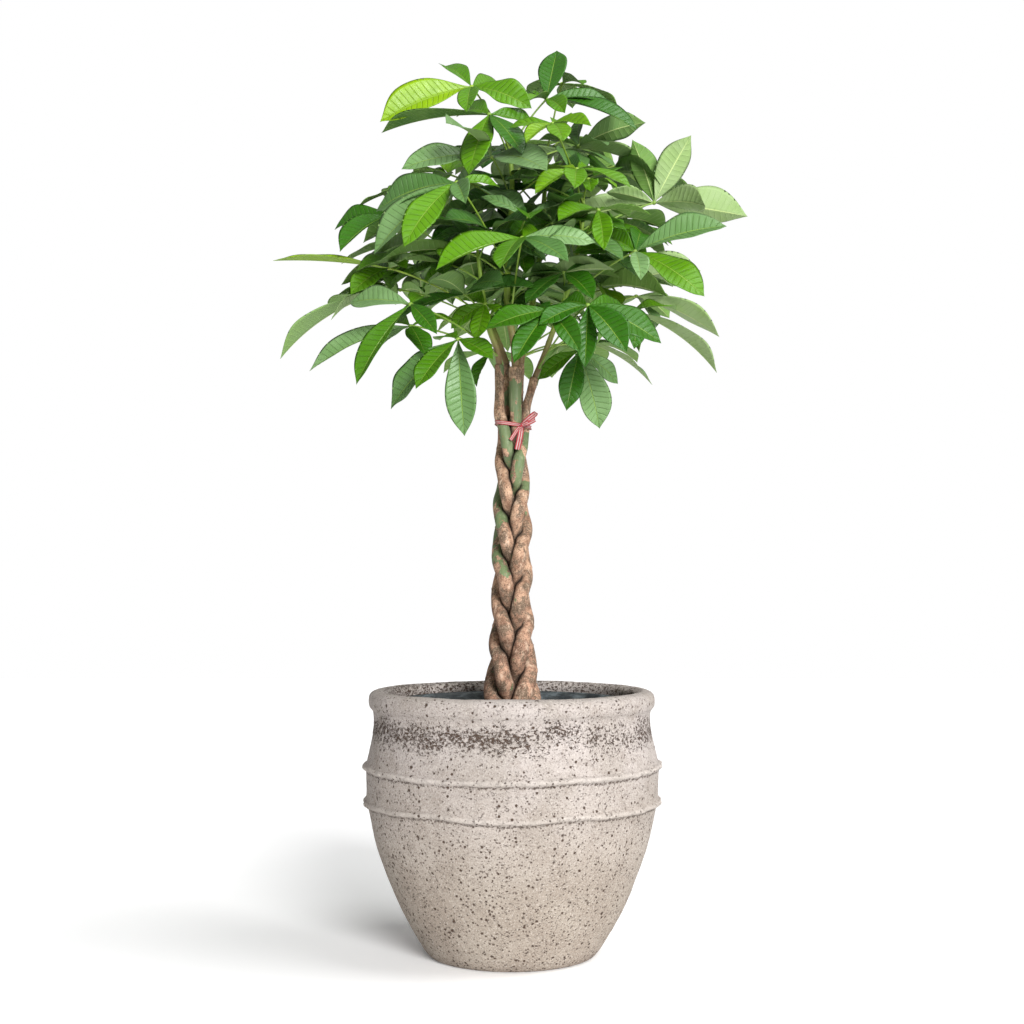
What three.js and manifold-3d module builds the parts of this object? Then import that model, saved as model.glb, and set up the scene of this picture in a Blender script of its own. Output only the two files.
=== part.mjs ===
// Potted money tree: five braided stems with palmate leaves in a speckled round pot.
// Millimetres, +Z up, the pot stands on z = 0 and is seen from -Y. Azimuth 0 is +X.
import * as THREE from 'three';
import { mergeVertices } from 'three/addons/utils/BufferGeometryUtils.js';
import Module from 'manifold-3d';

const wasm = await Module();
wasm.setup();

// Gap between pieces that rest against each other.
const SEAT = 0.3;

// Pot: outer contour from the foot up to the crest of the rolled rim [radius, height].
const POT_SIDES = 28;
const POT_OUTER = [
  [118, 0], [128, 4], [145, 30], [160, 57], [173, 84], [184, 111], [194, 138], [203, 165],
  [209, 192], [214, 216], [219.5, 229], [218, 242], [219, 268], [221, 282], [217, 293],
  [209, 327], [207, 342], [207, 362], [212.5, 371], [213, 385], [206, 392],
];
const POT_CREST = [196, 394];
const POT_INNER = [
  [184, 390], [182, 382], [189, 362], [193, 340], [202, 290], [200, 215], [188, 165], [168, 110],
  [142, 60], [120, 26], [108, 16],
];
const POT_FLOOR = 16;

// Liner pot that stands inside.
const LINER_FOOT_RADIUS = 104;
const LINER_RIM_RADIUS = 170;
const LINER_RIM_HEIGHT = 379;
const LINER_WALL = 3;
const LINER_LIP = 4;

// Soil: fills the liner up to a shallow dome.
const SOIL_EDGE_HEIGHT = 338;
const SOIL_CENTRE_HEIGHT = 346;

// Braid of five stems. Widths are of the whole trunk as seen from the front.
const STEM_COUNT = 5;
const STEM_SIDES = 7;
const STEM_FOOT = 264;
const BRAID_FOOT = 352;
const BRAID_PITCH = 345;
const BRAID_EDGE_HEIGHT = 768;
const BRAID_DEPTH = 24;
const BRAID_INWARD = 0.35;
const BRAID_FOREMOST = 0.22;
const BRAID_EASE = 1.3;
const BRAID_WIDTH = [
  [340, 100], [378, 91], [408, 83], [420, 80], [444, 70], [468, 65], [493, 61], [528, 58], [588, 57],
  [648, 54], [708, 49], [768, 48], [800, 50],
];
const STEM_RADIUS = [
  [340, 16], [378, 15.2], [408, 14.2], [444, 13], [528, 12.5], [588, 12.2], [648, 11.6],
  [708, 10.8], [768, 9.8], [800, 9],
];
const STEM_PRESS = 0.07;
const RING_SPACING = 25;
const SAMPLES_PER_RING = 3;
const RELAX_PASSES = 240;
const SIDEWAYS_GIVE = 0.08;
const HOME_HOLD = 0.15;
const DEPTH_HOLD = 0.05;
const SMOOTHING = 0.06;
const STEM_WELD = 0.1;

// Where each stem runs above the tie: low and top points, and the radius at its cut top.
const ABOVE_TIE = [
  { low: [-9, 15, 812], top: [-8, 16, 884], radius: 5.5 },
  { low: [5, -13, 812], top: [5.5, -13, 876], radius: 8.4 },
  { low: [20, 0, 812], top: [34, 2, 862], radius: 5.2 },
  { low: [9, 18, 812], top: [13, 22, 884], radius: 6.2 },
  { low: [-18.5, -8, 812], top: [-19, -8, 880], radius: 6.4 },
];

// Ribbon tied round the stems.
const TIE_HEIGHT = 790;
const TIE_BAND = 8;
const TIE_THICKNESS = 1.6;
const TIE_SLOPE = -0.12;
const TIE_POINTS = 16;
const KNOT = [14, -23.8, 787];
const KNOT_RADIUS = 4;
const RIBBON_THICKNESS = 1.4;
const RIBBONS = [
  {
    width: 6,
    points: [
      [14, -24, 788], [21, -26, 797], [30, -26, 803], [36, -25, 800], [32, -27, 793], [21, -26, 788],
      [14, -24, 787],
    ],
  },
  {
    width: 6,
    points: [
      [14, -24, 788], [13, -26, 797], [18, -27, 805], [24, -27, 806], [25, -27, 800], [20, -28, 792],
      [14, -24, 787],
    ],
  },
  { width: 7, points: [[14, -24, 787], [8, -28, 781], [3, -31, 773], [-2, -34, 765]] },
  { width: 8, points: [[14, -24, 787], [13, -28, 777], [11, -29, 765], [8, -33, 751]] },
];

// Green shoot that grows from the top of each stem [x, y, z, radius].
const SHOOTS = [
  [
    [-8, 16, 884, 4.6], [-15, 26, 905, 4.4], [-32, 44, 950, 4], [-55, 64, 1010, 3.6], [-74, 80, 1070, 3.1],
    [-84, 88, 1125, 2.4],
  ],
  [
    [5.5, -13, 876, 6], [3, -16, 910, 5.6], [-7, -18, 972, 5.1], [-4, -16, 1057, 4.6], [0, -12, 1135, 4],
    [-3, -10, 1205, 3],
  ],
  [
    [34, 2, 862, 4.4], [44, 3, 885, 4.2], [63, 0, 935, 4], [83, -5, 990, 3.7], [95, -8, 1033, 3.4],
    [105, -8, 1089, 2.9], [107, -8, 1130, 2.3],
  ],
  [
    [13, 22, 884, 5.2], [19, 33, 920, 5], [32, 58, 985, 4.6], [44, 78, 1065, 4.1], [50, 90, 1150, 3.5],
    [56, 96, 1235, 2.6],
  ],
  [
    [-19, -8, 880, 4.6], [-23, -13, 903, 4.3], [-34, -20, 932, 4], [-41, -26, 968, 3.6],
    [-47, -30, 1012, 3], [-52, -30, 1055, 2.3],
  ],
];
const SHOOT_SIDES = 6;

// Palmate leaves: shoot that bears it, hub, direction of the upper side, and the offsets from
// the hub to the tips of its leaflets. Those seen from the front come first.
const LEAVES = [
  {
    shoot: 1, hub: [-60, -30, 1289], up: [-0.1, -0.7, 0.7],
    tips: [[-134, -20, -58], [-45, 70, 52], [-5, -70, -58], [89, -30, -41], [50, 90, 20]],
  },
  {
    shoot: 1, hub: [-33, -90, 1231], up: [0, -0.7, 0.7],
    tips: [[-168, 60, 12], [-28, -60, -103], [48, -60, -74], [75, 60, -10], [-30, 100, 30]],
  },
  {
    shoot: 1, hub: [52, 10, 1282], up: [0, -0.7, 0.7],
    tips: [[17, 45, 88], [104, 20, -8], [138, -30, -50], [26, -60, -38], [-45, 50, 22], [-30, -60, -22]],
  },
  {
    shoot: 3, hub: [78, 90, 1330], up: [0, -0.1, 1],
    tips: [[-62, 20, -20], [20, 100, -10], [90, 40, -25], [-50, 90, -15], [30, -60, -20]],
  },
  {
    shoot: 2, hub: [214, 10, 1126], up: [0.1, 0.75, 0.65],
    tips: [[-33, 30, 102], [68, 20, 91], [146, 0, 6], [66, -80, -19], [-77, -30, 2], [-142, -20, -28]],
  },
  {
    shoot: 2, hub: [178, -90, 1033], up: [0.1, -0.8, 0.6],
    tips: [[131, -10, 34], [14, 85, 45], [-48, 70, 34], [-90, 10, 0], [3, -60, -53], [95, -40, -72]],
  },
  {
    shoot: 4, hub: [-183, -20, 1022], up: [0, -0.5, 0.85],
    tips: [[-173, 0, 11], [-45, 60, 6], [-52, -50, -48], [30, -60, -12], [91, 0, 21], [10, 100, 20]],
  },
  {
    shoot: 0, hub: [-214, 50, 994], up: [-0.3, -0.2, 0.9],
    tips: [[-141, 0, -98], [-50, -60, -60], [-70, 90, -10], [30, 90, 0]],
  },
  {
    shoot: 4, hub: [-147, -80, 927], up: [-0.1, -0.6, 0.8],
    tips: [[26, -60, -53], [-147, 0, -66], [-45, -50, -42], [58, 40, -3], [-40, 80, 10]],
  },
  {
    shoot: 4, hub: [-143, -150, 947], up: [-0.2, -0.8, 0.6],
    tips: [[-74, -20, -116], [-90, 50, 10], [40, -50, -50], [20, 70, 20]],
  },
  {
    shoot: 4, hub: [-76, -140, 899], up: [-0.1, -0.75, 0.65],
    tips: [[-28, 10, -134], [-46, -50, -80], [-95, 10, -107], [50, -50, -35], [-30, 80, 10]],
  },
  {
    shoot: 2, hub: [106, -160, 944], up: [0, -0.8, 0.6],
    tips: [[44, -50, -76], [100, -10, -59], [7, -20, -91], [-70, -40, -35], [-40, 70, 10], [60, 70, 0]],
  },
  {
    shoot: 2, hub: [99, -40, 897], up: [0, -0.85, 0.5],
    tips: [[0, -20, -93], [14, 30, -117], [-60, 30, -40], [60, 40, -45]],
  },
  {
    shoot: 3, hub: [118, 50, 921], up: [0, -0.2, 1],
    tips: [[96, -10, -66], [20, 90, -30], [80, 80, -20], [-50, 70, -40]],
  },
  {
    shoot: 3, hub: [191, 60, 994], up: [0.1, 0.4, 0.9],
    tips: [[128, 0, -63], [23, -60, -60], [60, 90, -20], [-30, 80, -10]],
  },
  {
    shoot: 3, hub: [170, 100, 1018], up: [0.1, 0.4, 0.9],
    tips: [[126, 10, 22], [81, -60, -19], [148, 70, -5], [30, 120, 0], [-60, 80, 5]],
  },
  {
    shoot: 2, hub: [180, -20, 958], up: [0.3, -0.1, 0.95],
    tips: [[125, 0, -92], [-3, -60, -65], [-60, 10, -40], [60, 80, -30]],
  },
  {
    shoot: 1, hub: [52, -170, 935], up: [0, -0.85, 0.5],
    tips: [[-87, -40, -34], [-52, -50, -80], [40, -60, -50], [50, 60, -10], [-20, 80, 10]],
  },
  {
    shoot: 1, hub: [14, -180, 1034], up: [-0.1, -0.75, 0.65],
    tips: [[-119, -30, -51], [62, -80, -49], [103, 10, -5], [-30, -90, -60], [30, 80, 20]],
  },
  {
    shoot: 1, hub: [20, -120, 1076], up: [0, -0.7, 0.7],
    tips: [[-55, 20, 42], [-84, 70, 43], [68, 10, 22], [5, -80, -20]],
  },
  {
    shoot: 1, hub: [-77, -180, 1111], up: [-0.2, -0.7, 0.7],
    tips: [[-87, -10, -95], [-117, 30, -95], [-123, 50, -50], [15, -70, -46], [60, 30, 0]],
  },
  {
    shoot: 2, hub: [57, -150, 1201], up: [0, -0.6, 0.8],
    tips: [[-38, -50, -41], [13, -60, -52], [53, -40, -15], [-60, 20, 0], [20, 70, 15]],
  },
  {
    shoot: 3, hub: [101, 20, 1214], up: [-0.2, 0.5, 0.84],
    tips: [[103, 20, 41], [10, 60, 60], [39, -80, -20], [-60, 40, 20]],
  },
  {
    shoot: 2, hub: [92, -130, 1142], up: [0, -0.5, 0.85],
    tips: [[75, -30, -34], [-60, -30, -43], [-6, -70, -45], [30, 70, 10], [-45, 60, 8]],
  },
  {
    shoot: 1, hub: [43, -40, 1151], up: [0, -0.4, 0.9],
    tips: [[-27, 70, 27], [-38, 20, -10], [-25, -60, -24], [15, -80, -25], [60, 20, 5]],
  },
  {
    shoot: 2, hub: [123, -120, 1086], up: [0, -0.4, 0.9],
    tips: [[-59, -60, -29], [5, -60, -70], [75, -10, -10], [-30, 80, 10], [50, 70, 5]],
  },
  {
    shoot: 2, hub: [113, -30, 1152], up: [0, 0.1, 1],
    tips: [[41, -30, -21], [2, -45, -30], [-40, 40, -15], [28, 60, -5]],
  },
  {
    shoot: 2, hub: [76, -60, 1008], up: [0, -0.6, 0.8],
    tips: [[-57, -45, -53], [40, -60, -50], [85, 20, -15], [-60, 60, 0]],
  },
  {
    shoot: 0, hub: [-158, 60, 1159], up: [-0.2, -0.3, 0.9],
    tips: [[-86, -10, -37], [-40, 90, 5], [40, 90, 10], [60, -20, 10], [-20, -70, -25]],
  },
  {
    shoot: 0, hub: [-184, 10, 1108], up: [-0.2, -0.6, 0.8],
    tips: [[-70, -50, -66], [-90, 60, -10], [10, 90, 10], [40, -60, -40]],
  },
  {
    shoot: 1, hub: [-95, -20, 1162], up: [0, -0.4, 0.9],
    tips: [[-21, 60, 30], [-50, 50, 15], [20, 70, 35], [-62, -10, -5], [-10, -70, -30]],
  },
  {
    shoot: 4, hub: [-39, -60, 962], up: [0, -0.8, 0.6],
    tips: [[-12, -20, -61], [-55, 10, -30], [40, -30, -30], [-20, 60, 10]],
  },
  {
    shoot: 3, hub: [75, 100, 925], up: [0, 0.1, 1],
    tips: [[-36, -20, -67], [-10, 100, -40], [60, 80, -30], [60, -20, -60]],
  },
  {
    shoot: 0, hub: [-30, 110, 918], up: [0, 0.1, 1],
    tips: [[-25, -20, -60], [-80, 50, -30], [10, 110, -30], [60, 70, -40]],
  },
  {
    shoot: 1, hub: [-24, 50, 1215], up: [0, -0.3, 0.95],
    tips: [[-70, 30, 10], [-20, -70, -45], [60, -50, -30], [40, 70, 15]],
  },
  {
    shoot: 0, hub: [-60, 20, 1085], up: [0, -0.5, 0.85],
    tips: [[-60, -70, -40], [40, -80, -40], [70, 30, 10], [-70, 40, 10]],
  },
  {
    shoot: 3, hub: [10, 70, 1075], up: [0, -0.5, 0.85],
    tips: [[-70, -50, -20], [10, -80, -60], [70, -40, -20], [-30, 70, 10]],
  },
  {
    shoot: 0, hub: [-176, 120, 1014], up: [-0.3, 0.2, 0.9],
    tips: [[-110, 20, -30], [-60, 100, 0], [20, 100, 5], [40, -40, -20]],
  },
];

// Leaves of the far side, placed by a rule: one turn of the golden angle after the other.
const GOLDEN_ANGLE = 137.508;
const FAR_LEAVES = [
  { shoot: 3, count: 6, from: 20, span: 90, low: 960, high: 1265, reach: 120 },
  { shoot: 0, count: 5, from: 80, span: 75, low: 950, high: 1190, reach: 105 },
];
const FAR_TIP_LENGTH = 122;
const FAR_LEAFLETS = 5;
const FEWEST_LEAFLETS = 3;
const SEED = 7;

// Leaf blade: share of the length, and of the greatest width, at each station.
const STATIONS = [[0.3, 0.68], [0.6, 1], [0.86, 0.54]];
const WIDTH_RATIO = 0.41;
const BLADE_THICKNESS = 1.3;
const FOLD = 0.16;
const ARCH = 0.1;
const HUB_HALF = 2.4;
const HUB_RING = 5;
const LEAFLET_SPACING = 34;
const PETIOLE_RADIUS = 1.7;
const PETIOLE_SIDES = 4;
const PETIOLE_STEPS = 4;
const PETIOLE_RISE = 0.55;

// A leaflet that would touch another is turned about its hub until it is clear [sideways, upward].
const CLEARANCE = 1.2;
const WELD = 0.05;
const TURNS = [
  [0, 0], [0, 8], [0, -8], [9, 0], [-9, 0], [0, 16], [0, -16], [9, 12], [-9, 12], [9, -12], [-9, -12],
  [16, 0], [-16, 0], [0, 25], [0, -25], [15, 20], [-15, 20], [15, -20], [-15, -20], [0, 36], [0, -36],
  [12, 32], [-12, 32], [12, -32], [-12, -32], [0, 50], [0, -50],
];
// A petiole that would touch another piece bows sideways by this share of its length.
const SWAYS = [0, 0.12, -0.12, 0.24, -0.24, 0.36, -0.36, 0.5, -0.5];

// Small helpers for points.
const vec = (p) => new THREE.Vector3(p[0], p[1], p[2]);
const radians = (degrees) => degrees * Math.PI / 180;

function lookUp(table, at) {
  if (at <= table[0][0]) return table[0][1];
  for (let i = 1; i < table.length; i += 1) {
    const [z1, v1] = table[i];
    const [z0, v0] = table[i - 1];
    if (at <= z1) return v0 + (v1 - v0) * (at - z0) / (z1 - z0);
  }
  return table[table.length - 1][1];
}

function randomSource(seed) {
  let state = seed;
  return () => {
    state = (state * 1664525 + 1013904223) % 4294967296;
    return state / 4294967296;
  };
}

// Solids from points and triangles, turned so that their faces look outward.
function solid(points, triangles) {
  const vertProperties = new Float32Array(points.flat());
  const signed = triangles.reduce((sum, [a, b, c]) => {
    const cross = vec(points[b]).cross(vec(points[c]));
    return sum + vec(points[a]).dot(cross);
  }, 0);
  const outward = signed > 0 ? triangles : triangles.map(([a, b, c]) => [a, c, b]);
  const mesh = new wasm.Mesh({ numProp: 3, vertProperties, triVerts: new Uint32Array(outward.flat()) });
  return new wasm.Manifold(mesh);
}

function solidOf(geometry) {
  geometry.deleteAttribute('normal');
  geometry.deleteAttribute('uv');
  const merged = mergeVertices(geometry, 1e-4);
  const position = merged.getAttribute('position');
  const points = [];
  for (let i = 0; i < position.count; i += 1) {
    points.push([position.getX(i), position.getY(i), position.getZ(i)]);
  }
  const index = merged.getIndex().array;
  const triangles = [];
  for (let i = 0; i < index.length; i += 3) {
    const [a, b, c] = [index[i], index[i + 1], index[i + 2]];
    if (a !== b && b !== c && a !== c) triangles.push([a, b, c]);
  }
  return solid(points, triangles);
}

// Body of revolution about Z from a profile of [radius, height].
function turned(profile, sides) {
  const lathe = new THREE.LatheGeometry(profile.map(([r, z]) => new THREE.Vector2(r, z)), sides);
  lathe.rotateX(Math.PI / 2);
  return solidOf(lathe);
}

// Tube through points with a radius at each, closed by flat caps.
function tube(points, radii, sides, firstAxis = null) {
  const corners = [];
  const triangles = [];
  let across = new THREE.Vector3(1, 0, 0);
  points.forEach((point, i) => {
    const before = points[Math.max(i - 1, 0)];
    const after = points[Math.min(i + 1, points.length - 1)];
    const along = after.clone().sub(before).normalize();
    if (i === 0 && firstAxis) along.copy(firstAxis);
    if (i === 0 && Math.abs(along.x) > 0.9) across.set(0, 1, 0);
    across = across.clone().addScaledVector(along, -across.dot(along)).normalize();
    const over = along.clone().cross(across);
    for (let s = 0; s < sides; s += 1) {
      const angle = 2 * Math.PI * s / sides;
      const corner = point.clone();
      corner.addScaledVector(across, radii[i] * Math.cos(angle));
      corner.addScaledVector(over, radii[i] * Math.sin(angle));
      corners.push(corner.toArray());
    }
  });
  for (let i = 0; i < points.length - 1; i += 1) {
    for (let s = 0; s < sides; s += 1) {
      const a = i * sides + s;
      const b = i * sides + (s + 1) % sides;
      triangles.push([a, b, b + sides], [a, b + sides, a + sides]);
    }
  }
  const last = (points.length - 1) * sides;
  for (let s = 1; s < sides - 1; s += 1) {
    triangles.push([0, s + 1, s], [last, last + s, last + s + 1]);
  }
  return solid(corners, triangles);
}

// Pot, liner and soil.
function makePot() {
  return turned([[0, 0], ...POT_OUTER, POT_CREST, ...POT_INNER, [0, POT_FLOOR]], POT_SIDES);
}

function linerOuterRadius(z) {
  const share = (z - POT_FLOOR) / (LINER_RIM_HEIGHT - POT_FLOOR);
  return LINER_FOOT_RADIUS + (LINER_RIM_RADIUS - LINER_FOOT_RADIUS) * share;
}

function makeLiner() {
  const foot = POT_FLOOR + SEAT;
  const top = LINER_RIM_HEIGHT;
  const under = top - 2 * LINER_LIP;
  const wall = LINER_WALL;
  return turned([
    [0, foot],
    [linerOuterRadius(foot), foot],
    [linerOuterRadius(under), under],
    [linerOuterRadius(under) + LINER_LIP, under + 1],
    [linerOuterRadius(top) + LINER_LIP, top - 2],
    [linerOuterRadius(top) + 1, top],
    [linerOuterRadius(top) - wall, top - 1],
    [linerOuterRadius(foot + wall) - wall, foot + wall],
    [0, foot + wall],
  ], POT_SIDES);
}

function makeSoil(stems) {
  const foot = POT_FLOOR + SEAT + LINER_WALL + SEAT;
  const inset = LINER_WALL + SEAT;
  const ring = (radius) => {
    const share = radius / linerOuterRadius(SOIL_EDGE_HEIGHT);
    return [radius, SOIL_CENTRE_HEIGHT + (SOIL_EDGE_HEIGHT - SOIL_CENTRE_HEIGHT) * share * share];
  };
  const body = turned([
    [0, foot],
    [linerOuterRadius(foot) - inset, foot],
    [linerOuterRadius(SOIL_EDGE_HEIGHT) - inset, SOIL_EDGE_HEIGHT],
    ring(110),
    ring(55),
    [0, SOIL_CENTRE_HEIGHT],
  ], POT_SIDES);
  return stems.reduce((soil, stem) => soil.subtract(stem.hole), body);
}

// Centre of a stem in the braid: going down it moves slowly inward in front and quickly
// outward behind, first from the left edge and half a pitch later from the right edge.
function braidCentre(stem, z) {
  const turns = (BRAID_EDGE_HEIGHT - z) / BRAID_PITCH - stem / STEM_COUNT;
  const phase = turns - Math.floor(turns);
  const side = phase < 0.5 ? -1 : 1;
  const step = phase % 0.5;
  const quarter = Math.PI / 2;
  const across = step < BRAID_INWARD
    ? 1 - (step / BRAID_INWARD) ** BRAID_EASE
    : -Math.sin(quarter * (step - BRAID_INWARD) / (0.5 - BRAID_INWARD));
  const reach = lookUp(BRAID_WIDTH, z) / 2 - lookUp(STEM_RADIUS, z);
  return [side * reach * across, -BRAID_DEPTH * Math.cos(4 * Math.PI * (step - BRAID_FOREMOST))];
}

function smooth(share) {
  const t = Math.min(Math.max(share, 0), 1);
  return t * t * (3 - 2 * t);
}

function wantedCentre(stem, z) {
  if (z < BRAID_FOOT) return braidCentre(stem, BRAID_FOOT);
  const { low, top } = ABOVE_TIE[stem];
  const climb = Math.max((z - low[2]) / (top[2] - low[2]), 0);
  const free = [low[0] + (top[0] - low[0]) * climb, low[1] + (top[1] - low[1]) * climb];
  const woven = braidCentre(stem, Math.min(z, low[2]));
  const share = smooth((z - TIE_HEIGHT + 16) / 34);
  return [woven[0] + (free[0] - woven[0]) * share, woven[1] + (free[1] - woven[1]) * share];
}

function stemRadius(stem, z) {
  const { low, top, radius } = ABOVE_TIE[stem];
  const atTie = lookUp(STEM_RADIUS, low[2]);
  if (z <= TIE_HEIGHT) return lookUp(STEM_RADIUS, z);
  return atTie + (radius - atTie) * smooth((z - TIE_HEIGHT) / (top[2] - TIE_HEIGHT) * 1.6);
}

function stemRings(stem) {
  const top = ABOVE_TIE[stem].top[2];
  const count = Math.round((top - STEM_FOOT) / RING_SPACING);
  const rings = [];
  for (let i = 0; i <= count; i += 1) {
    const z = STEM_FOOT + (top - STEM_FOOT) * i / count;
    const [x, y] = wantedCentre(stem, z);
    rings.push({ x, y, z, home: [x, y], radius: stemRadius(stem, z), held: i === count });
  }
  return rings;
}

// Point of a stem between two of its rings.
function between(rings, at) {
  const i = Math.min(Math.floor(at), rings.length - 2);
  const share = at - i;
  const [a, b] = [rings[i], rings[i + 1]];
  const mix = (key) => a[key] + (b[key] - a[key]) * share;
  const rank = a.home[1] + (b.home[1] - a.home[1]) * share;
  return { x: mix('x'), y: mix('y'), z: mix('z'), radius: mix('radius'), rank, a, b, share };
}

function shift(point, dx, dy) {
  for (const [ring, weight] of [[point.a, 1 - point.share], [point.b, point.share]]) {
    if (!ring.held) {
      ring.x += dx * weight;
      ring.y += dy * weight;
    }
  }
}

// Pushes two points of different stems apart in plan until they clear each other.
function pushApart(a, b) {
  const [dx, dy, dz] = [b.x - a.x, b.y - a.y, b.z - a.z];
  const wanted = (a.radius + b.radius) * (1 - STEM_PRESS);
  const apart = Math.hypot(dx, dy, dz);
  if (apart >= wanted) return;
  const behind = b.rank < a.rank ? -1 : 1;
  const depth = Math.sqrt(Math.max(wanted ** 2 - dx ** 2 - dz ** 2, 0)) - behind * dy;
  const pushY = 0.35 * Math.max(depth, 0) * behind;
  const pushX = SIDEWAYS_GIVE * (wanted - apart) * Math.sign(dx);
  shift(a, -pushX, -pushY);
  shift(b, pushX, pushY);
}

function pushStems(first, second) {
  const step = 1 / SAMPLES_PER_RING;
  for (let i = 0; i <= first.length - 1; i += step) {
    const last = Math.min(i + 1.7, second.length - 1);
    for (let j = Math.max(i - 1.7, 0); j <= last; j += step) {
      pushApart(between(first, i), between(second, j));
    }
  }
}

function pullHome(rings) {
  for (let i = 1; i < rings.length - 1; i += 1) {
    const ring = rings[i];
    if (ring.held) continue;
    const [before, after] = [rings[i - 1], rings[i + 1]];
    const middle = ring.z > TIE_HEIGHT ? ring.home[1] : 0;
    ring.x += HOME_HOLD * (ring.home[0] - ring.x);
    ring.y += SMOOTHING * ((before.y + after.y) / 2 - ring.y) + DEPTH_HOLD * (middle - ring.y);
  }
}

// The buried foot of a stem runs straight down.
function plumbFoot(rings) {
  const settled = rings.find((ring) => ring.z >= BRAID_FOOT);
  for (const ring of rings) {
    if (ring.z < BRAID_FOOT) {
      ring.x = settled.x;
      ring.y = settled.y;
    }
  }
}

function relaxStems(stems) {
  for (let pass = 0; pass < RELAX_PASSES; pass += 1) {
    stems.forEach(pullHome);
    for (let a = 0; a < stems.length; a += 1) {
      for (let b = a + 1; b < stems.length; b += 1) pushStems(stems[a], stems[b]);
    }
    stems.forEach(plumbFoot);
  }
}

function makeStems() {
  const all = ABOVE_TIE.map((_, stem) => stemRings(stem));
  relaxStems(all);
  const stems = all.map((rings) => {
    const points = rings.map((ring) => new THREE.Vector3(ring.x, ring.y, ring.z));
    const radii = rings.map((ring) => ring.radius);
    const foot = new THREE.Vector3(0, 0, 1);
    const body = tube(points, radii, STEM_SIDES, foot);
    const buried = points.map((point, i) => (i === 0 ? point.clone().setZ(point.z - SEAT) : point));
    const hole = tube(buried, radii.map((radius) => radius + SEAT), STEM_SIDES, foot);
    const top = points[points.length - 1];
    const axis = top.clone().sub(points[points.length - 2]).normalize();
    return { body, hole, rings, top, axis };
  });
  // Stems press into each other, so each is hollowed where an earlier one lies against it.
  stems.forEach((stem, i) => {
    const carved = stems.slice(0, i).reduce((body, other) => body.subtract(other.hole), stem.body);
    stem.body = carved.simplify(STEM_WELD);
  });
  return stems;
}

// Outline round all stems over the height of the tie, pushed out by a clearance.
function hullRound(stems, clearance) {
  const rim = [];
  for (const { rings } of stems) {
    for (const z of [TIE_HEIGHT - TIE_BAND, TIE_HEIGHT, TIE_HEIGHT + TIE_BAND]) {
      const level = between(rings, (z - STEM_FOOT) / (rings[1].z - rings[0].z));
      for (let s = 0; s < 24; s += 1) {
        const angle = 2 * Math.PI * s / 24;
        const reach = level.radius + clearance;
        rim.push([level.x + reach * Math.cos(angle), level.y + reach * Math.sin(angle)]);
      }
    }
  }
  const outline = [];
  for (let s = 0; s < TIE_POINTS; s += 1) {
    const angle = 2 * Math.PI * (s + 0.5) / TIE_POINTS;
    const support = (turn) => Math.max(...rim.map(([x, y]) => x * Math.cos(turn) + y * Math.sin(turn)));
    const half = Math.PI / TIE_POINTS;
    const before = support(angle - half);
    const after = support(angle + half);
    const along = (after + before) / 2 / Math.cos(half);
    const aside = (after - before) / 2 / Math.sin(half);
    outline.push([
      along * Math.cos(angle) - aside * Math.sin(angle),
      along * Math.sin(angle) + aside * Math.cos(angle),
    ]);
  }
  return outline;
}

function makeBand(stems) {
  const rows = [
    [SEAT, -TIE_BAND / 2], [SEAT, TIE_BAND / 2],
    [SEAT + TIE_THICKNESS, TIE_BAND / 2], [SEAT + TIE_THICKNESS, -TIE_BAND / 2],
  ];
  const points = [];
  for (const [clearance, lift] of rows) {
    for (const [x, y] of hullRound(stems, clearance)) points.push([x, y, TIE_HEIGHT + TIE_SLOPE * x + lift]);
  }
  const triangles = [];
  for (let row = 0; row < rows.length; row += 1) {
    const next = (row + 1) % rows.length;
    for (let s = 0; s < TIE_POINTS; s += 1) {
      const t = (s + 1) % TIE_POINTS;
      const [a, b] = [row * TIE_POINTS + s, row * TIE_POINTS + t];
      const [c, d] = [next * TIE_POINTS + s, next * TIE_POINTS + t];
      triangles.push([a, b, d], [a, d, c]);
    }
  }
  return solid(points, triangles);
}

// Flat ribbon through points; its width lies across the front view and the path.
function ribbon({ points, width }) {
  const corners = [];
  const triangles = [];
  points.forEach((point, i) => {
    const before = vec(points[Math.max(i - 1, 0)]);
    const after = vec(points[Math.min(i + 1, points.length - 1)]);
    const along = after.sub(before).normalize();
    const face = new THREE.Vector3(0, -1, 0);
    const side = along.clone().cross(face).normalize();
    const through = side.clone().cross(along);
    for (const [a, b] of [[-1, -1], [1, -1], [1, 1], [-1, 1]]) {
      const corner = vec(point);
      corner.addScaledVector(side, a * width / 2);
      corner.addScaledVector(through, b * RIBBON_THICKNESS / 2);
      corners.push(corner.toArray());
    }
  });
  for (let i = 0; i < points.length - 1; i += 1) {
    for (let s = 0; s < 4; s += 1) {
      const a = i * 4 + s;
      const b = i * 4 + (s + 1) % 4;
      triangles.push([a, b, b + 4], [a, b + 4, a + 4]);
    }
  }
  const last = (points.length - 1) * 4;
  triangles.push([0, 2, 1], [0, 3, 2], [last, last + 1, last + 2], [last, last + 2, last + 3]);
  return solid(corners, triangles);
}

function makeTie(stems) {
  const knot = solidOf(new THREE.IcosahedronGeometry(KNOT_RADIUS, 1).translate(...KNOT));
  const tied = wasm.Manifold.union([makeBand(stems), knot, ...RIBBONS.map(ribbon)]);
  return stems.reduce((body, stem) => body.subtract(stem.hole), tied);
}

// Leaf: all leaflets share the hub, one closed body.
function leafletFrame(hub, up, tip) {
  const along = tip.clone().normalize();
  const normal = up.clone().addScaledVector(along, -up.dot(along));
  if (normal.length() < 0.1) normal.set(0, -1, 0.2);
  normal.normalize();
  return { along, normal, side: normal.clone().cross(along) };
}

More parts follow.
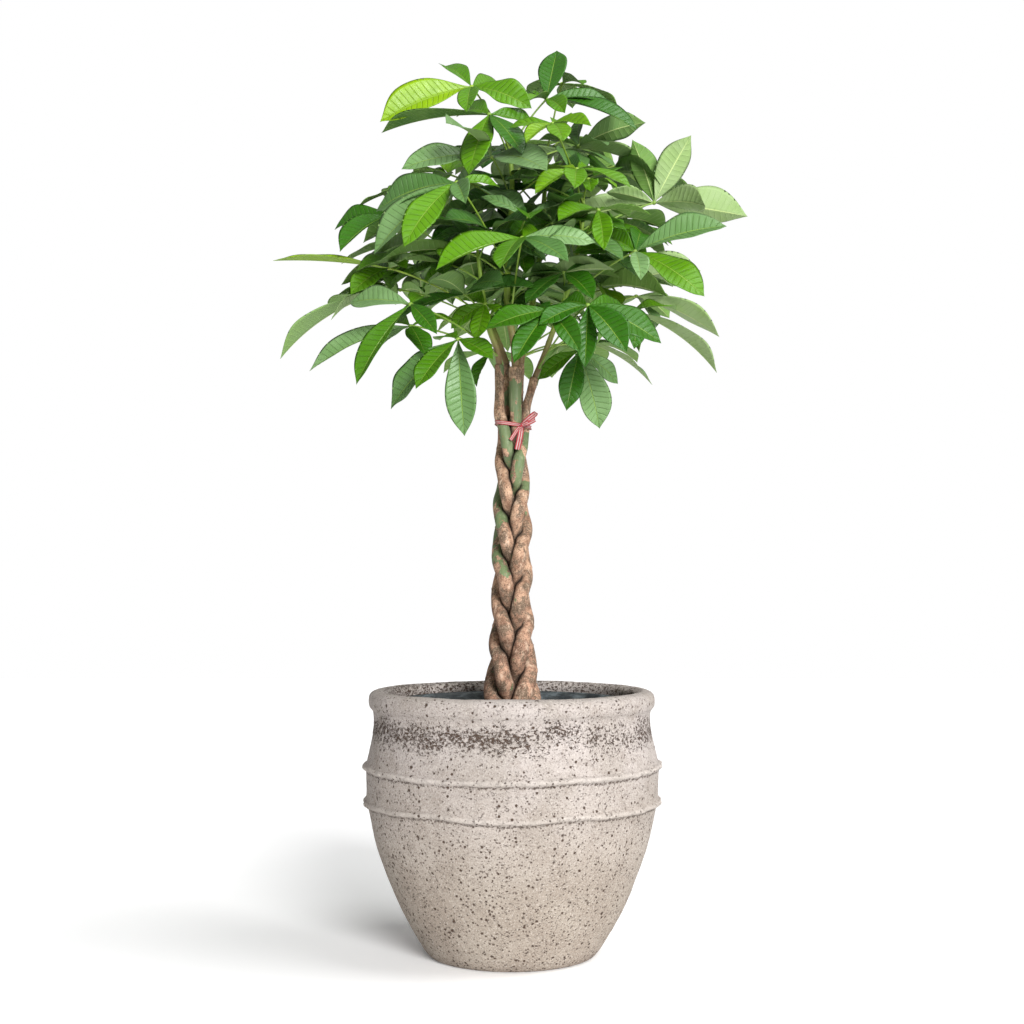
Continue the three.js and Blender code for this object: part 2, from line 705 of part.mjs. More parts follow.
function bladeRings(hub, up, tip) {
  const length = tip.length();
  const { normal, side } = leafletFrame(hub, up, tip);
  return STATIONS.map(([share, widthShare]) => {
    const centre = hub.clone().addScaledVector(tip, share);
    centre.addScaledVector(normal, ARCH * length * 4 * share * (1 - share));
    const half = WIDTH_RATIO * length * widthShare / 2;
    const thick = BLADE_THICKNESS / 2;
    const right = centre.clone().addScaledVector(side, -half).addScaledVector(normal, FOLD * half);
    const left = centre.clone().addScaledVector(side, half).addScaledVector(normal, FOLD * half);
    const top = centre.clone().addScaledVector(normal, thick);
    const under = centre.clone().addScaledVector(normal, -thick);
    return [right, top, left, under].map((corner) => corner.toArray());
  });
}

function bladeTriangles(ringIds, tipId) {
  const triangles = [];
  for (let i = 0; i < ringIds.length - 1; i += 1) {
    for (let s = 0; s < 4; s += 1) {
      const t = (s + 1) % 4;
      const [a, b] = [ringIds[i][s], ringIds[i][t]];
      const [c, d] = [ringIds[i + 1][s], ringIds[i + 1][t]];
      triangles.push([a, b, d], [a, d, c]);
    }
  }
  const end = ringIds[ringIds.length - 1];
  for (let s = 0; s < 4; s += 1) triangles.push([end[s], end[(s + 1) % 4], tipId]);
  return triangles;
}

// The part of a leaflet beyond its root, as a body of its own for clearance tests.
function freeBlade(hub, up, tip) {
  const rings = bladeRings(hub, up, tip);
  const root = hub.clone().addScaledVector(tip, 0.1).toArray();
  const points = [...rings.flat(), hub.clone().add(tip).toArray(), root];
  const ids = rings.map((_, i) => [0, 1, 2, 3].map((s) => 4 * i + s));
  const tipId = 4 * rings.length;
  const triangles = bladeTriangles(ids, tipId);
  for (let s = 0; s < 4; s += 1) triangles.push([(s + 1) % 4, s, tipId + 1]);
  return solid(points, triangles);
}

function hubAxes(up) {
  const normal = up.clone().normalize();
  const east = new THREE.Vector3(1, 0, 0).addScaledVector(normal, -normal.x).normalize();
  return { normal, east, north: normal.clone().cross(east) };
}

function tipAngle(axes, tip) {
  return Math.atan2(tip.dot(axes.north), tip.dot(axes.east));
}

// Turns tips about the hub so that neighbours keep their spacing.
function spreadTips(up, tips) {
  const axes = hubAxes(up);
  const entries = tips.map((tip) => ({ tip, start: tipAngle(axes, tip), angle: tipAngle(axes, tip) }));
  entries.sort((a, b) => a.start - b.start);
  const spacing = radians(LEAFLET_SPACING);
  const count = entries.length;
  for (let pass = 0; pass < 40; pass += 1) {
    for (let i = 0; i < count; i += 1) {
      const a = entries[i];
      const b = entries[(i + 1) % count];
      const between = b.angle - a.angle + (i === count - 1 ? 2 * Math.PI : 0);
      if (between < spacing) {
        a.angle -= (spacing - between) / 2;
        b.angle += (spacing - between) / 2;
      }
    }
  }
  return entries.map(({ tip, start, angle }) => tip.clone().applyAxisAngle(axes.normal, angle - start));
}

function turnTip(hub, up, tip, [sideways, upward]) {
  const { normal, side } = leafletFrame(hub, up, tip);
  return tip.clone().applyAxisAngle(side, -radians(upward)).applyAxisAngle(normal, radians(sideways));
}

function leafSolid(hub, up, tips) {
  const axes = hubAxes(up);
  const angles = tips.map((tip) => tipAngle(axes, tip));
  const points = [
    hub.clone().addScaledVector(axes.normal, HUB_HALF).toArray(),
    hub.clone().addScaledVector(axes.normal, -HUB_HALF).toArray(),
  ];
  const count = tips.length;
  for (let i = 0; i < count; i += 1) {
    const next = angles[(i + 1) % count] + (i === count - 1 ? 2 * Math.PI : 0);
    const angle = (angles[i] + next) / 2;
    const corner = hub.clone();
    corner.addScaledVector(axes.east, HUB_RING * Math.cos(angle));
    corner.addScaledVector(axes.north, HUB_RING * Math.sin(angle));
    points.push(corner.toArray());
  }
  const triangles = [];
  tips.forEach((tip, i) => {
    const rootRing = [2 + (i + count - 1) % count, 0, 2 + i, 1];
    const first = points.length;
    const rings = bladeRings(hub, up, tip);
    rings.forEach((ring) => points.push(...ring));
    points.push(hub.clone().add(tip).toArray());
    const ids = [rootRing, ...rings.map((_, ring) => [0, 1, 2, 3].map((s) => first + 4 * ring + s))];
    triangles.push(...bladeTriangles(ids, points.length - 1));
  });
  return solid(points, triangles);
}

// Petiole from its shoot to the hub.
function shootPoint(shoot, z) {
  const path = SHOOTS[shoot];
  for (let i = 1; i < path.length; i += 1) {
    if (z <= path[i][2] || i === path.length - 1) {
      const [low, high] = [path[i - 1], path[i]];
      const share = Math.min(Math.max((z - low[2]) / (high[2] - low[2]), 0), 1);
      return vec(low).lerp(vec(high), share);
    }
  }
  return vec(path[0]);
}

function petioleFoot(shoot, hub) {
  const path = SHOOTS[shoot];
  const level = shootPoint(shoot, hub.z);
  const away = Math.hypot(hub.x - level.x, hub.y - level.y);
  const lowest = path[0][2] + 12;
  const highest = path[path.length - 1][2] - 4;
  return shootPoint(shoot, Math.min(Math.max(hub.z - PETIOLE_RISE * away, lowest), highest));
}

function petiole(foot, hub, sway) {
  const span = hub.clone().sub(foot);
  const aside = new THREE.Vector3(-span.y, span.x, 0).normalize().multiplyScalar(sway * span.length());
  const bend = foot.clone().addScaledVector(span, 0.5).add(aside);
  bend.z += 0.1 * span.length();
  const curve = new THREE.QuadraticBezierCurve3(foot, bend, hub);
  const points = curve.getPoints(PETIOLE_STEPS);
  return tube(points, points.map(() => PETIOLE_RADIUS), PETIOLE_SIDES);
}

// Pieces already placed, for clearance tests.
const placed = [];

function boxesApart(a, b) {
  return [0, 1, 2].some((i) => a.min[i] > b.max[i] + CLEARANCE || b.min[i] > a.max[i] + CLEARANCE);
}

function isClear(body, skip) {
  const box = body.boundingBox();
  return placed.every((piece) => {
    if (skip(piece) || boxesApart(box, piece.box)) return true;
    return body.minGap(piece.body, CLEARANCE) >= CLEARANCE * 0.999;
  });
}

function keep(body, node, role) {
  placed.push({ body, box: body.boundingBox(), node, role });
}

// First clear stalk of a leaf; pieces of its own shoot may be crossed, as they are fused.
function growStalk({ shoot, hub }) {
  const centre = vec(hub);
  const foot = petioleFoot(shoot, centre);
  for (const sway of SWAYS) {
    const stalk = petiole(foot, centre, sway);
    if (isClear(stalk, (piece) => piece.node === shoot)) {
      keep(stalk, shoot, 'stalk');
      return stalk;
    }
  }
  return null;
}

function clearTip(centre, upward, tip, blades, stalk, skip) {
  for (const turn of TURNS) {
    const turned = turnTip(centre, upward, tip, turn);
    const blade = freeBlade(centre, upward, turned);
    const clearOfOwn = [...blades, stalk].every((body) => body.minGap(blade, SEAT) > SEAT / 2);
    if (clearOfOwn && isClear(blade, skip)) return { turned, blade };
  }
  return null;
}

function growLeaf(leaf, stalk) {
  const centre = vec(leaf.hub);
  const upward = vec(leaf.up).normalize();
  const ownStalk = (piece) => piece.body === stalk;
  const ownShoot = (piece) => piece.node === leaf.shoot;
  const tips = [];
  const blades = [];
  for (const tip of spreadTips(upward, leaf.tips.map(vec))) {
    const found = clearTip(centre, upward, tip, blades, stalk, ownStalk)
      ?? clearTip(centre, upward, tip, blades, stalk, ownShoot);
    if (found) {
      tips.push(found.turned);
      blades.push(found.blade);
    }
  }
  if (tips.length < FEWEST_LEAFLETS) return null;
  blades.forEach((blade) => keep(blade, leaf.shoot, 'blade'));
  return wasm.Manifold.union([leafSolid(centre, upward, tips), stalk]);
}

function farLeaves() {
  const random = randomSource(SEED);
  const leaves = [];
  for (const { shoot, count, from, span, low, high, reach } of FAR_LEAVES) {
    for (let i = 0; i < count; i += 1) {
      const azimuth = radians(from + (i * GOLDEN_ANGLE) % span);
      const height = low + (high - low) * (i + 0.5) / count;
      const stem = shootPoint(shoot, height);
      const away = reach * (0.8 + 0.4 * random());
      const out = new THREE.Vector3(Math.cos(azimuth), Math.sin(azimuth), 0);
      const hub = stem.clone().addScaledVector(out, away);
      hub.z = height + 30;
      const up = out.clone().multiplyScalar(0.3).add(new THREE.Vector3(0, 0, 1)).normalize();
      const tips = [];
      for (let leaflet = 0; leaflet < FAR_LEAFLETS; leaflet += 1) {
        const turn = radians((leaflet - (FAR_LEAFLETS - 1) / 2) * 52 + 10 * (random() - 0.5));
        const length = FAR_TIP_LENGTH * (1.1 - 0.12 * Math.abs(leaflet - 2)) * (0.9 + 0.2 * random());
        const direction = out.clone().applyAxisAngle(new THREE.Vector3(0, 0, 1), turn);
        direction.z = -0.25 - 0.35 * random();
        tips.push(direction.normalize().multiplyScalar(length).toArray());
      }
      leaves.push({ shoot, hub: hub.toArray(), up: up.toArray(), tips });
    }
  }
  return leaves;
}

function makeFoliage(stems) {
  const parts = SHOOTS.map((path, shoot) => {
    const seat = stems[shoot].top.clone().addScaledVector(stems[shoot].axis, SEAT);
    const points = path.map((point, i) => (i === 0 ? seat : vec(point)));
    const body = tube(points, path.map((point) => point[3]), SHOOT_SIDES, stems[shoot].axis);
    keep(body, shoot, 'shoot');
    return [body];
  });
  const leaves = [...LEAVES, ...farLeaves()];
  const stalks = leaves.map(growStalk);
  leaves.forEach((leaf, i) => {
    const body = stalks[i] ? growLeaf(leaf, stalks[i]) : null;
    if (body) parts[leaf.shoot].push(body);
  });
  return parts.map((bodies) => wasm.Manifold.union(bodies).simplify(WELD));
}

// Meshes and their materials.
const MATERIALS = {
  pot: { color: 0xb9aca0, roughness: 0.92, metalness: 0 },
  liner: { color: 0x6f7f86, roughness: 0.5, metalness: 0.3 },
  soil: { color: 0x3a2a1e, roughness: 1, metalness: 0 },
  stem: { color: 0x8a6a50, roughness: 0.85, metalness: 0 },
  foliage: { color: 0x4f9a35, roughness: 0.5, metalness: 0 },
  tie: { color: 0xc9384a, roughness: 0.6, metalness: 0 },
};

function meshOf(body, name, material) {
  const { vertProperties, triVerts, numProp } = body.getMesh();
  const positions = new Float32Array(triVerts.length * 3);
  triVerts.forEach((vertex, i) => {
    for (let axis = 0; axis < 3; axis += 1) positions[3 * i + axis] = vertProperties[vertex * numProp + axis];
  });
  const geometry = new THREE.BufferGeometry();
  geometry.setAttribute('position', new THREE.BufferAttribute(positions, 3));
  geometry.computeVertexNormals();
  const mesh = new THREE.Mesh(geometry, new THREE.MeshStandardMaterial(MATERIALS[material]));
  mesh.name = name;
  return mesh;
}

const group = new THREE.Group();
const stems = makeStems();
for (const { body } of stems) keep(body, -1, 'stem');
const tie = makeTie(stems);
keep(tie, -1, 'tie');

group.add(meshOf(makePot(), 'pot', 'pot'));
group.add(meshOf(makeLiner(), 'liner', 'liner'));
group.add(meshOf(makeSoil(stems), 'soil', 'soil'));
stems.forEach(({ body }, stem) => group.add(meshOf(body, `stem_${stem + 1}`, 'stem')));
makeFoliage(stems).forEach((body, shoot) => group.add(meshOf(body, `foliage_${shoot + 1}`, 'foliage')));
group.add(meshOf(tie, 'tie', 'tie'));

export default group;
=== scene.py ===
# Potted money tree: looks of the braided stems, the palmate leaves, the tie and the pot.
# Tables are in millimetres, with Z up and the pot standing on Z = 0; MM turns them to metres.
import math
from functools import partial

import bpy
import numpy as np
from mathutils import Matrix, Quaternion, Vector, kdtree


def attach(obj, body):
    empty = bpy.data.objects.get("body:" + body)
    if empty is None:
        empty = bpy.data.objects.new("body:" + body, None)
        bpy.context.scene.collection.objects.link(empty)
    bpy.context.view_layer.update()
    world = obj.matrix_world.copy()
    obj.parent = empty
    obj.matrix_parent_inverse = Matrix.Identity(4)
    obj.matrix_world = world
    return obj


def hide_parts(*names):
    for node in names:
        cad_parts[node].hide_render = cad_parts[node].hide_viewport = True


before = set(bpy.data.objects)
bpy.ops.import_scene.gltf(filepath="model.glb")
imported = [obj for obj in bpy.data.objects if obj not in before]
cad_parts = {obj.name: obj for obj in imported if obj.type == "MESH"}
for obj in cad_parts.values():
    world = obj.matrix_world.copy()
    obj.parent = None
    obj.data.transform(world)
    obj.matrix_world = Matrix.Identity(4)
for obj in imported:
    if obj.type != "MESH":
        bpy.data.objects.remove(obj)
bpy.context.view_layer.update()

MM = 0.001
SEED = 7

# Camera and light. A sun has the direction to its source, its spread in degrees and its strength.
CAMERA_DISTANCE = 2400
CAMERA_HEIGHT = 573
CAMERA_LENS = 56.25
CAMERA_SENSOR = 36
CAMERA_SHIFT = 0.0566
CAMERA_REACH = 50000
FLOOR_SIZE = 12000
FLOOR_GLOW = 0.06
DOME_LIGHT = 0.3
SUNS = {"key": ((0.55, -0.15, 1.0), 34, 1.6), "front": ((0.38, -1, 0.34), 24, 4.5)}

# Pot: outer contour from the foot to the crest of the rolled rim, then down inside.
POT_OUTER = [
    (118, 0), (128, 4), (145, 30), (160, 57), (173, 84), (184, 111), (194, 138), (203, 165),
    (209, 192), (214, 216), (218, 229), (217.5, 242), (218.5, 268), (219.5, 282), (216.5, 293),
    (209, 327), (207, 342), (207, 362), (212.5, 371), (213, 385), (206, 392), (196, 394),
]
POT_INNER = [
    (184, 390), (182, 382), (189, 362), (193, 340), (202, 290), (200, 215), (188, 165),
    (168, 110), (142, 60), (120, 26), (108, 16), (0.5, 16),
]
POT_FLOOR = 16
POT_COLUMNS = 400
POT_OUTER_ROWS = 185
POT_INNER_ROWS = 44
# Inside, from this height up, rows are closer and the clay is rough; above the next it is worn too.
POT_SEEN_ABOVE = 330
POT_WORN_ABOVE = 340
POT_WORN_RADIUS = 192
POT_FOOT_EASE = 6
OUTER_STEP = 0.6
INNER_STEP = 1
# How much closer rows are at a ridge and over what distance, and how much closer they are inside.
RIDGE_ROWS = (2.2, 7)
SEEN_ROWS = 3
# Layers of noise in the clay: height, size of a lump, layers and seed.
CLAY_LUMPS = [(1.3, 75, 2, 1), (0.45, 16, 2, 4), (0.3, 6.5, 2, 6)]
# Two wavy ridges, on the outside only. Waves: height, size for a pot of radius 1, layers and seed.
POT_RIDGES = (282, 230)
RIDGE_HEIGHT = 5.4
RIDGE_WIDTH = 4.0
RIDGE_MIN_RADIUS = 211
RIDGE_SQUARENESS = 2.3
RIDGE_CRUMBLE = (0.8, 0.6)
# Size and layers of the crumbling on a ridge; size, layers and seed of that on the neck.
RIDGE_GRIT = (8, 2)
NECK_GRIT = (7, 2, 12)
# Groove under a ridge, in shares of its height and of its width: depth, distance and width.
RIDGE_GROOVE = (0.1, 1.8, 0.6)
RIDGE_NEARBY = 20.0
RIDGE_WAVES = [(4.2, 0.5, 3, 0), (1.5, 0.1, 2, 9)]
# The neck has a crumbled band; its dark flecks fade out between two distances from it.
NECK_HEIGHT = 339
NECK_BAND = 12
NECK_WEAR = 1.1
NECK_WAVE = 45
NECK_FADE = (3, 34)
# Small, large and tiny flecks: cells per metre, share of the cells that hold one, what the neck
# band and the low part of the pot add to it, and reach and raggedness as shares of a cell.
CLAY_FLECKS = [
    (170, 0.2, 0.2, 0.2, 0.36, 0.6), (85, 0.08, 0.15, 0.12, 0.25, 0.5), (300, 0.12, 0.1, 0.1, 0.5, 0.5),
]

# Liner pot and soil. Each lip point: level of the wall it starts from, way out, way below the rim.
LINER_FOOT = 16.3
LINER_FOOT_RADIUS = 104
LINER_RIM_RADIUS = 170
LINER_RIM_HEIGHT = 379
LINER_WALL = 3
LINER_LIP = [
    (8, 0, 8), (8, 3.2, 7.2), (0, 4, 3), (0, 2.6, 0.6), (0, 0, 0), (0, -2.4, 0.8), (4, -LINER_WALL, 5),
]
LINER_OUTER_HEIGHTS = (LINER_FOOT + 4, 40, 120, 240, 350)
LINER_INNER_HEIGHTS = (340, 250, 160, 60, LINER_FOOT + LINER_WALL + 3)
LINER_COLUMNS = 160
# How far its foot is drawn in outside and inside, and the steps along both sides.
LINER_FOOT_ROUND = (4, 8)
LINER_STEPS = (3, 6)
SOIL_FOOT = 19.6
SOIL_GAP = 0.6
SOIL_EDGE_HEIGHT = 338
SOIL_CENTRE_HEIGHT = 346
SOIL_LUMPS = [(2.0, 17, 3, 14)]
SOIL_RINGS = 56
SOIL_COLUMNS = 200
# Crumbs: their number on a round field of soil, the radius of the field and of a crumb, the least
# and most of their sizes and shapes, the depth of their dents, and how far they turn in radians.
CRUMB_COUNT = 3200
CRUMB_FIELD = 160
CRUMB_RADIUS = 2.2
CRUMB_SIZES = (0.45, 1.7)
CRUMB_SHAPES = ((0.6, 0.6, 0.45), (1.7, 1.2, 1.0))
CRUMB_DENT = 1.2
CRUMB_TURN = 6.28

# Braid of five stems: whole width and stem radius against height, as in the solids.
STEM_COUNT = 5
STEM_FOOT = 264
BRAID_FOOT = 352
BRAID_PITCH = 345
BRAID_EDGE_HEIGHT = 768
BRAID_DEPTH = 24
BRAID_INWARD = 0.35
BRAID_FOREMOST = 0.22
BRAID_EASE = 1.3
BRAID_WIDTH = [
    (340, 100), (378, 91), (408, 83), (420, 80), (444, 70), (468, 65), (493, 61), (528, 58),
    (588, 57), (648, 54), (708, 49), (768, 48), (800, 50),
]
STEM_RADIUS = [
    (340, 16), (378, 15.2), (408, 14.2), (444, 13), (528, 12.5), (588, 12.2), (648, 11.6),
    (708, 10.8), (768, 9.8), (800, 9),
]
STEM_PRESS = 0.07
RING_SPACING = 25
RING_REACH = 1.7
SAMPLES_PER_RING = 3
RELAX_PASSES = 240
SIDEWAYS_GIVE = 0.08
DEPTH_GIVE = 0.35
HOME_HOLD = 0.15
DEPTH_HOLD = 0.05
SMOOTHING = 0.06
# The stems leave the braid from this far below the tie, over this stretch.
FREE_BELOW_TIE = 16
FREE_STRETCH = 34
TAPER_HASTE = 1.6
STEM_SIDES = 44
STEM_ROW = 2.4
STEM_IN_SOIL = 14
STEM_CURVE_START = 60
STEM_TOP_SHARE = 0.82
STEM_TOP_DOME = 0.8
# The ends of a tube bulge by this share of its radius.
TUBE_DOME = 0.4
# Bark swells by a share of the stem's radius and is rough by a height. Painted shade darkens it where another
# stem is near.
BARK_SWELL = 0.035
SWELL_SIZE = 24
BARK_ROUGH = 0.3
ROUGH_SIZE = 5
CREVICE_SHADE_REACH = 4.5
FAR_AWAY = 1000.0
POINTS_AT_ONCE = 2000

# Where each stem runs above the tie: low point, top point and radius at the top.
ABOVE_TIE = [
    ((-9, 15, 812), (-8, 16, 884), 5.5),
    ((5, -13, 812), (5.5, -13, 876), 8.4),
    ((20, 0, 812), (34, 2, 862), 5.2),
    ((9, 18, 812), (13, 22, 884), 6.2),
    ((-18.5, -8, 812), (-19, -8, 880), 6.4),
]
# Bark is slimmer than the solid stems where they press together, and thicker towards their tops.
STEM_GIRTH = [(360, 0.94), (430, 0.88), (770, 0.87), (800, 1)]
TOP_GIRTH = (1, 1.22, 1.3, 1, 1.12)
BRAID_DRAWN_IN = [(360, 0.97), (440, 0.94), (770, 0.94), (800, 1)]
# Leaf scars round the bark: first height, spacing, drop at their sides, height, span in radians,
# least relief and what chance adds to it, scatter in height, and how far from the top they end.
SCAR_FOOT = 360
SCAR_SPACING = 30
SCAR_DROP = 1.6
SCAR_HEIGHT = 1.3
SCAR_SPAN = 1.3
SCAR_RELIEF = (0.5, 0.7)
SCAR_SCATTER = 9
SCAR_TOP_GAP = 6
# Green skin: how softly a stretch ends, how bare it is outside and how full inside, its blotches.
GREEN_EDGE = 14
GREEN_LEVELS = (-0.62, 0.24)
GREEN_BLOTCH = 11
# Stretches of each stem where its smooth green skin shows: from and to height.
GREEN_STRETCHES = [
    [(820, 840)],
    [(786, 852), (640, 705)],
    [(690, 776), (565, 632)],
    [(690, 704)],
    [(726, 790), (868, 890)],
]

# Ribbon tied round the stems.
TIE_HEIGHT = 790
TIE_BAND = 5.5
TIE_SLOPE = -0.12
TIE_CLEARANCE = 0.9
KNOT = (14, -25, 787)
KNOT_RADIUS = 3.4
KNOT_LENGTH = 1.6
# Rows and sides of the knot, its lean and thickness in radii, and the part of a ball it keeps.
KNOT_ROWS = 9
KNOT_SIDES = 20
KNOT_LEAN = (0.9, 0, 0.35)
KNOT_THICKNESS = 0.85
KNOT_ROUND = 0.86
RIBBON_THICKNESS = 0.4
RIBBON_COLUMNS = 9
RIBBON_ROW = 1.2
# Creases by depth and size, rise of its edges, sway of a bow part, and pinch with its length.
RIBBON_CREASES = ((0.55, 2.6), (0.35, 1.4))
RIBBON_CUP = 0.9
RIBBON_SWAY = 0.35
RIBBON_PINCH = 0.55
PINCH_LENGTH = 0.12
RIBBON_STRIPES = 2.5
RIBBON_THREADS = 9000.0
BAND_CORNERS = 48
RIM_POINTS = 24
# Bow loops come first in the list, then the tails; each has its width and its route.
BOW_LOOPS = 2
# The flat ribbon, 8 mm by 325 mm: its cut in metres with the width rounded up, and its true area.
RIBBONS = [
    (8, [(14, -25, 788), (21, -26, 794), (29, -26, 801), (34, -28, 804.5), (33, -31, 803),
         (24, -32, 796), (14, -26, 788)]),
    (7, [(14, -25, 788), (22, -25, 790), (30, -25, 794), (33.5, -27, 796), (32, -30, 795),
         (23, -31, 790.5), (14, -26, 787)]),
    (5.5, [(14, -25, 787), (8, -29, 781), (3, -32, 773), (-2, -34, 765)]),
    (8.5, [(14, -25, 787), (13, -29, 777), (11, -31, 765), (8, -33.5, 751)]),
]

# Green shoot that grows from the top of each stem: x, y, z and radius.
SHOOTS = [
    [(-8, 16, 884, 4.6), (-15, 26, 905, 4.4), (-32, 44, 950, 4), (-55, 64, 1010, 3.6),
     (-74, 80, 1070, 3.1), (-84, 88, 1125, 2.4)],
    [(5.5, -13, 876, 6), (3, -16, 910, 5.6), (-7, -18, 972, 5.1), (-4, -16, 1057, 4.6),
     (0, -12, 1135, 4), (-3, -10, 1205, 3)],
    [(34, 2, 862, 4.4), (44, 3, 885, 4.2), (63, 0, 935, 4), (83, -5, 990, 3.7),
     (95, -8, 1033, 3.4), (105, -8, 1089, 2.9), (107, -8, 1130, 2.3)],
    [(13, 22, 884, 5.2), (19, 33, 920, 5), (32, 58, 985, 4.6), (44, 78, 1065, 4.1),
     (50, 90, 1150, 3.5), (56, 96, 1235, 2.6)],
    [(-19, -8, 880, 4.6), (-23, -13, 903, 4.3), (-34, -20, 932, 4), (-41, -26, 968, 3.6),
     (-47, -30, 1012, 3), (-52, -30, 1055, 2.3)],
]
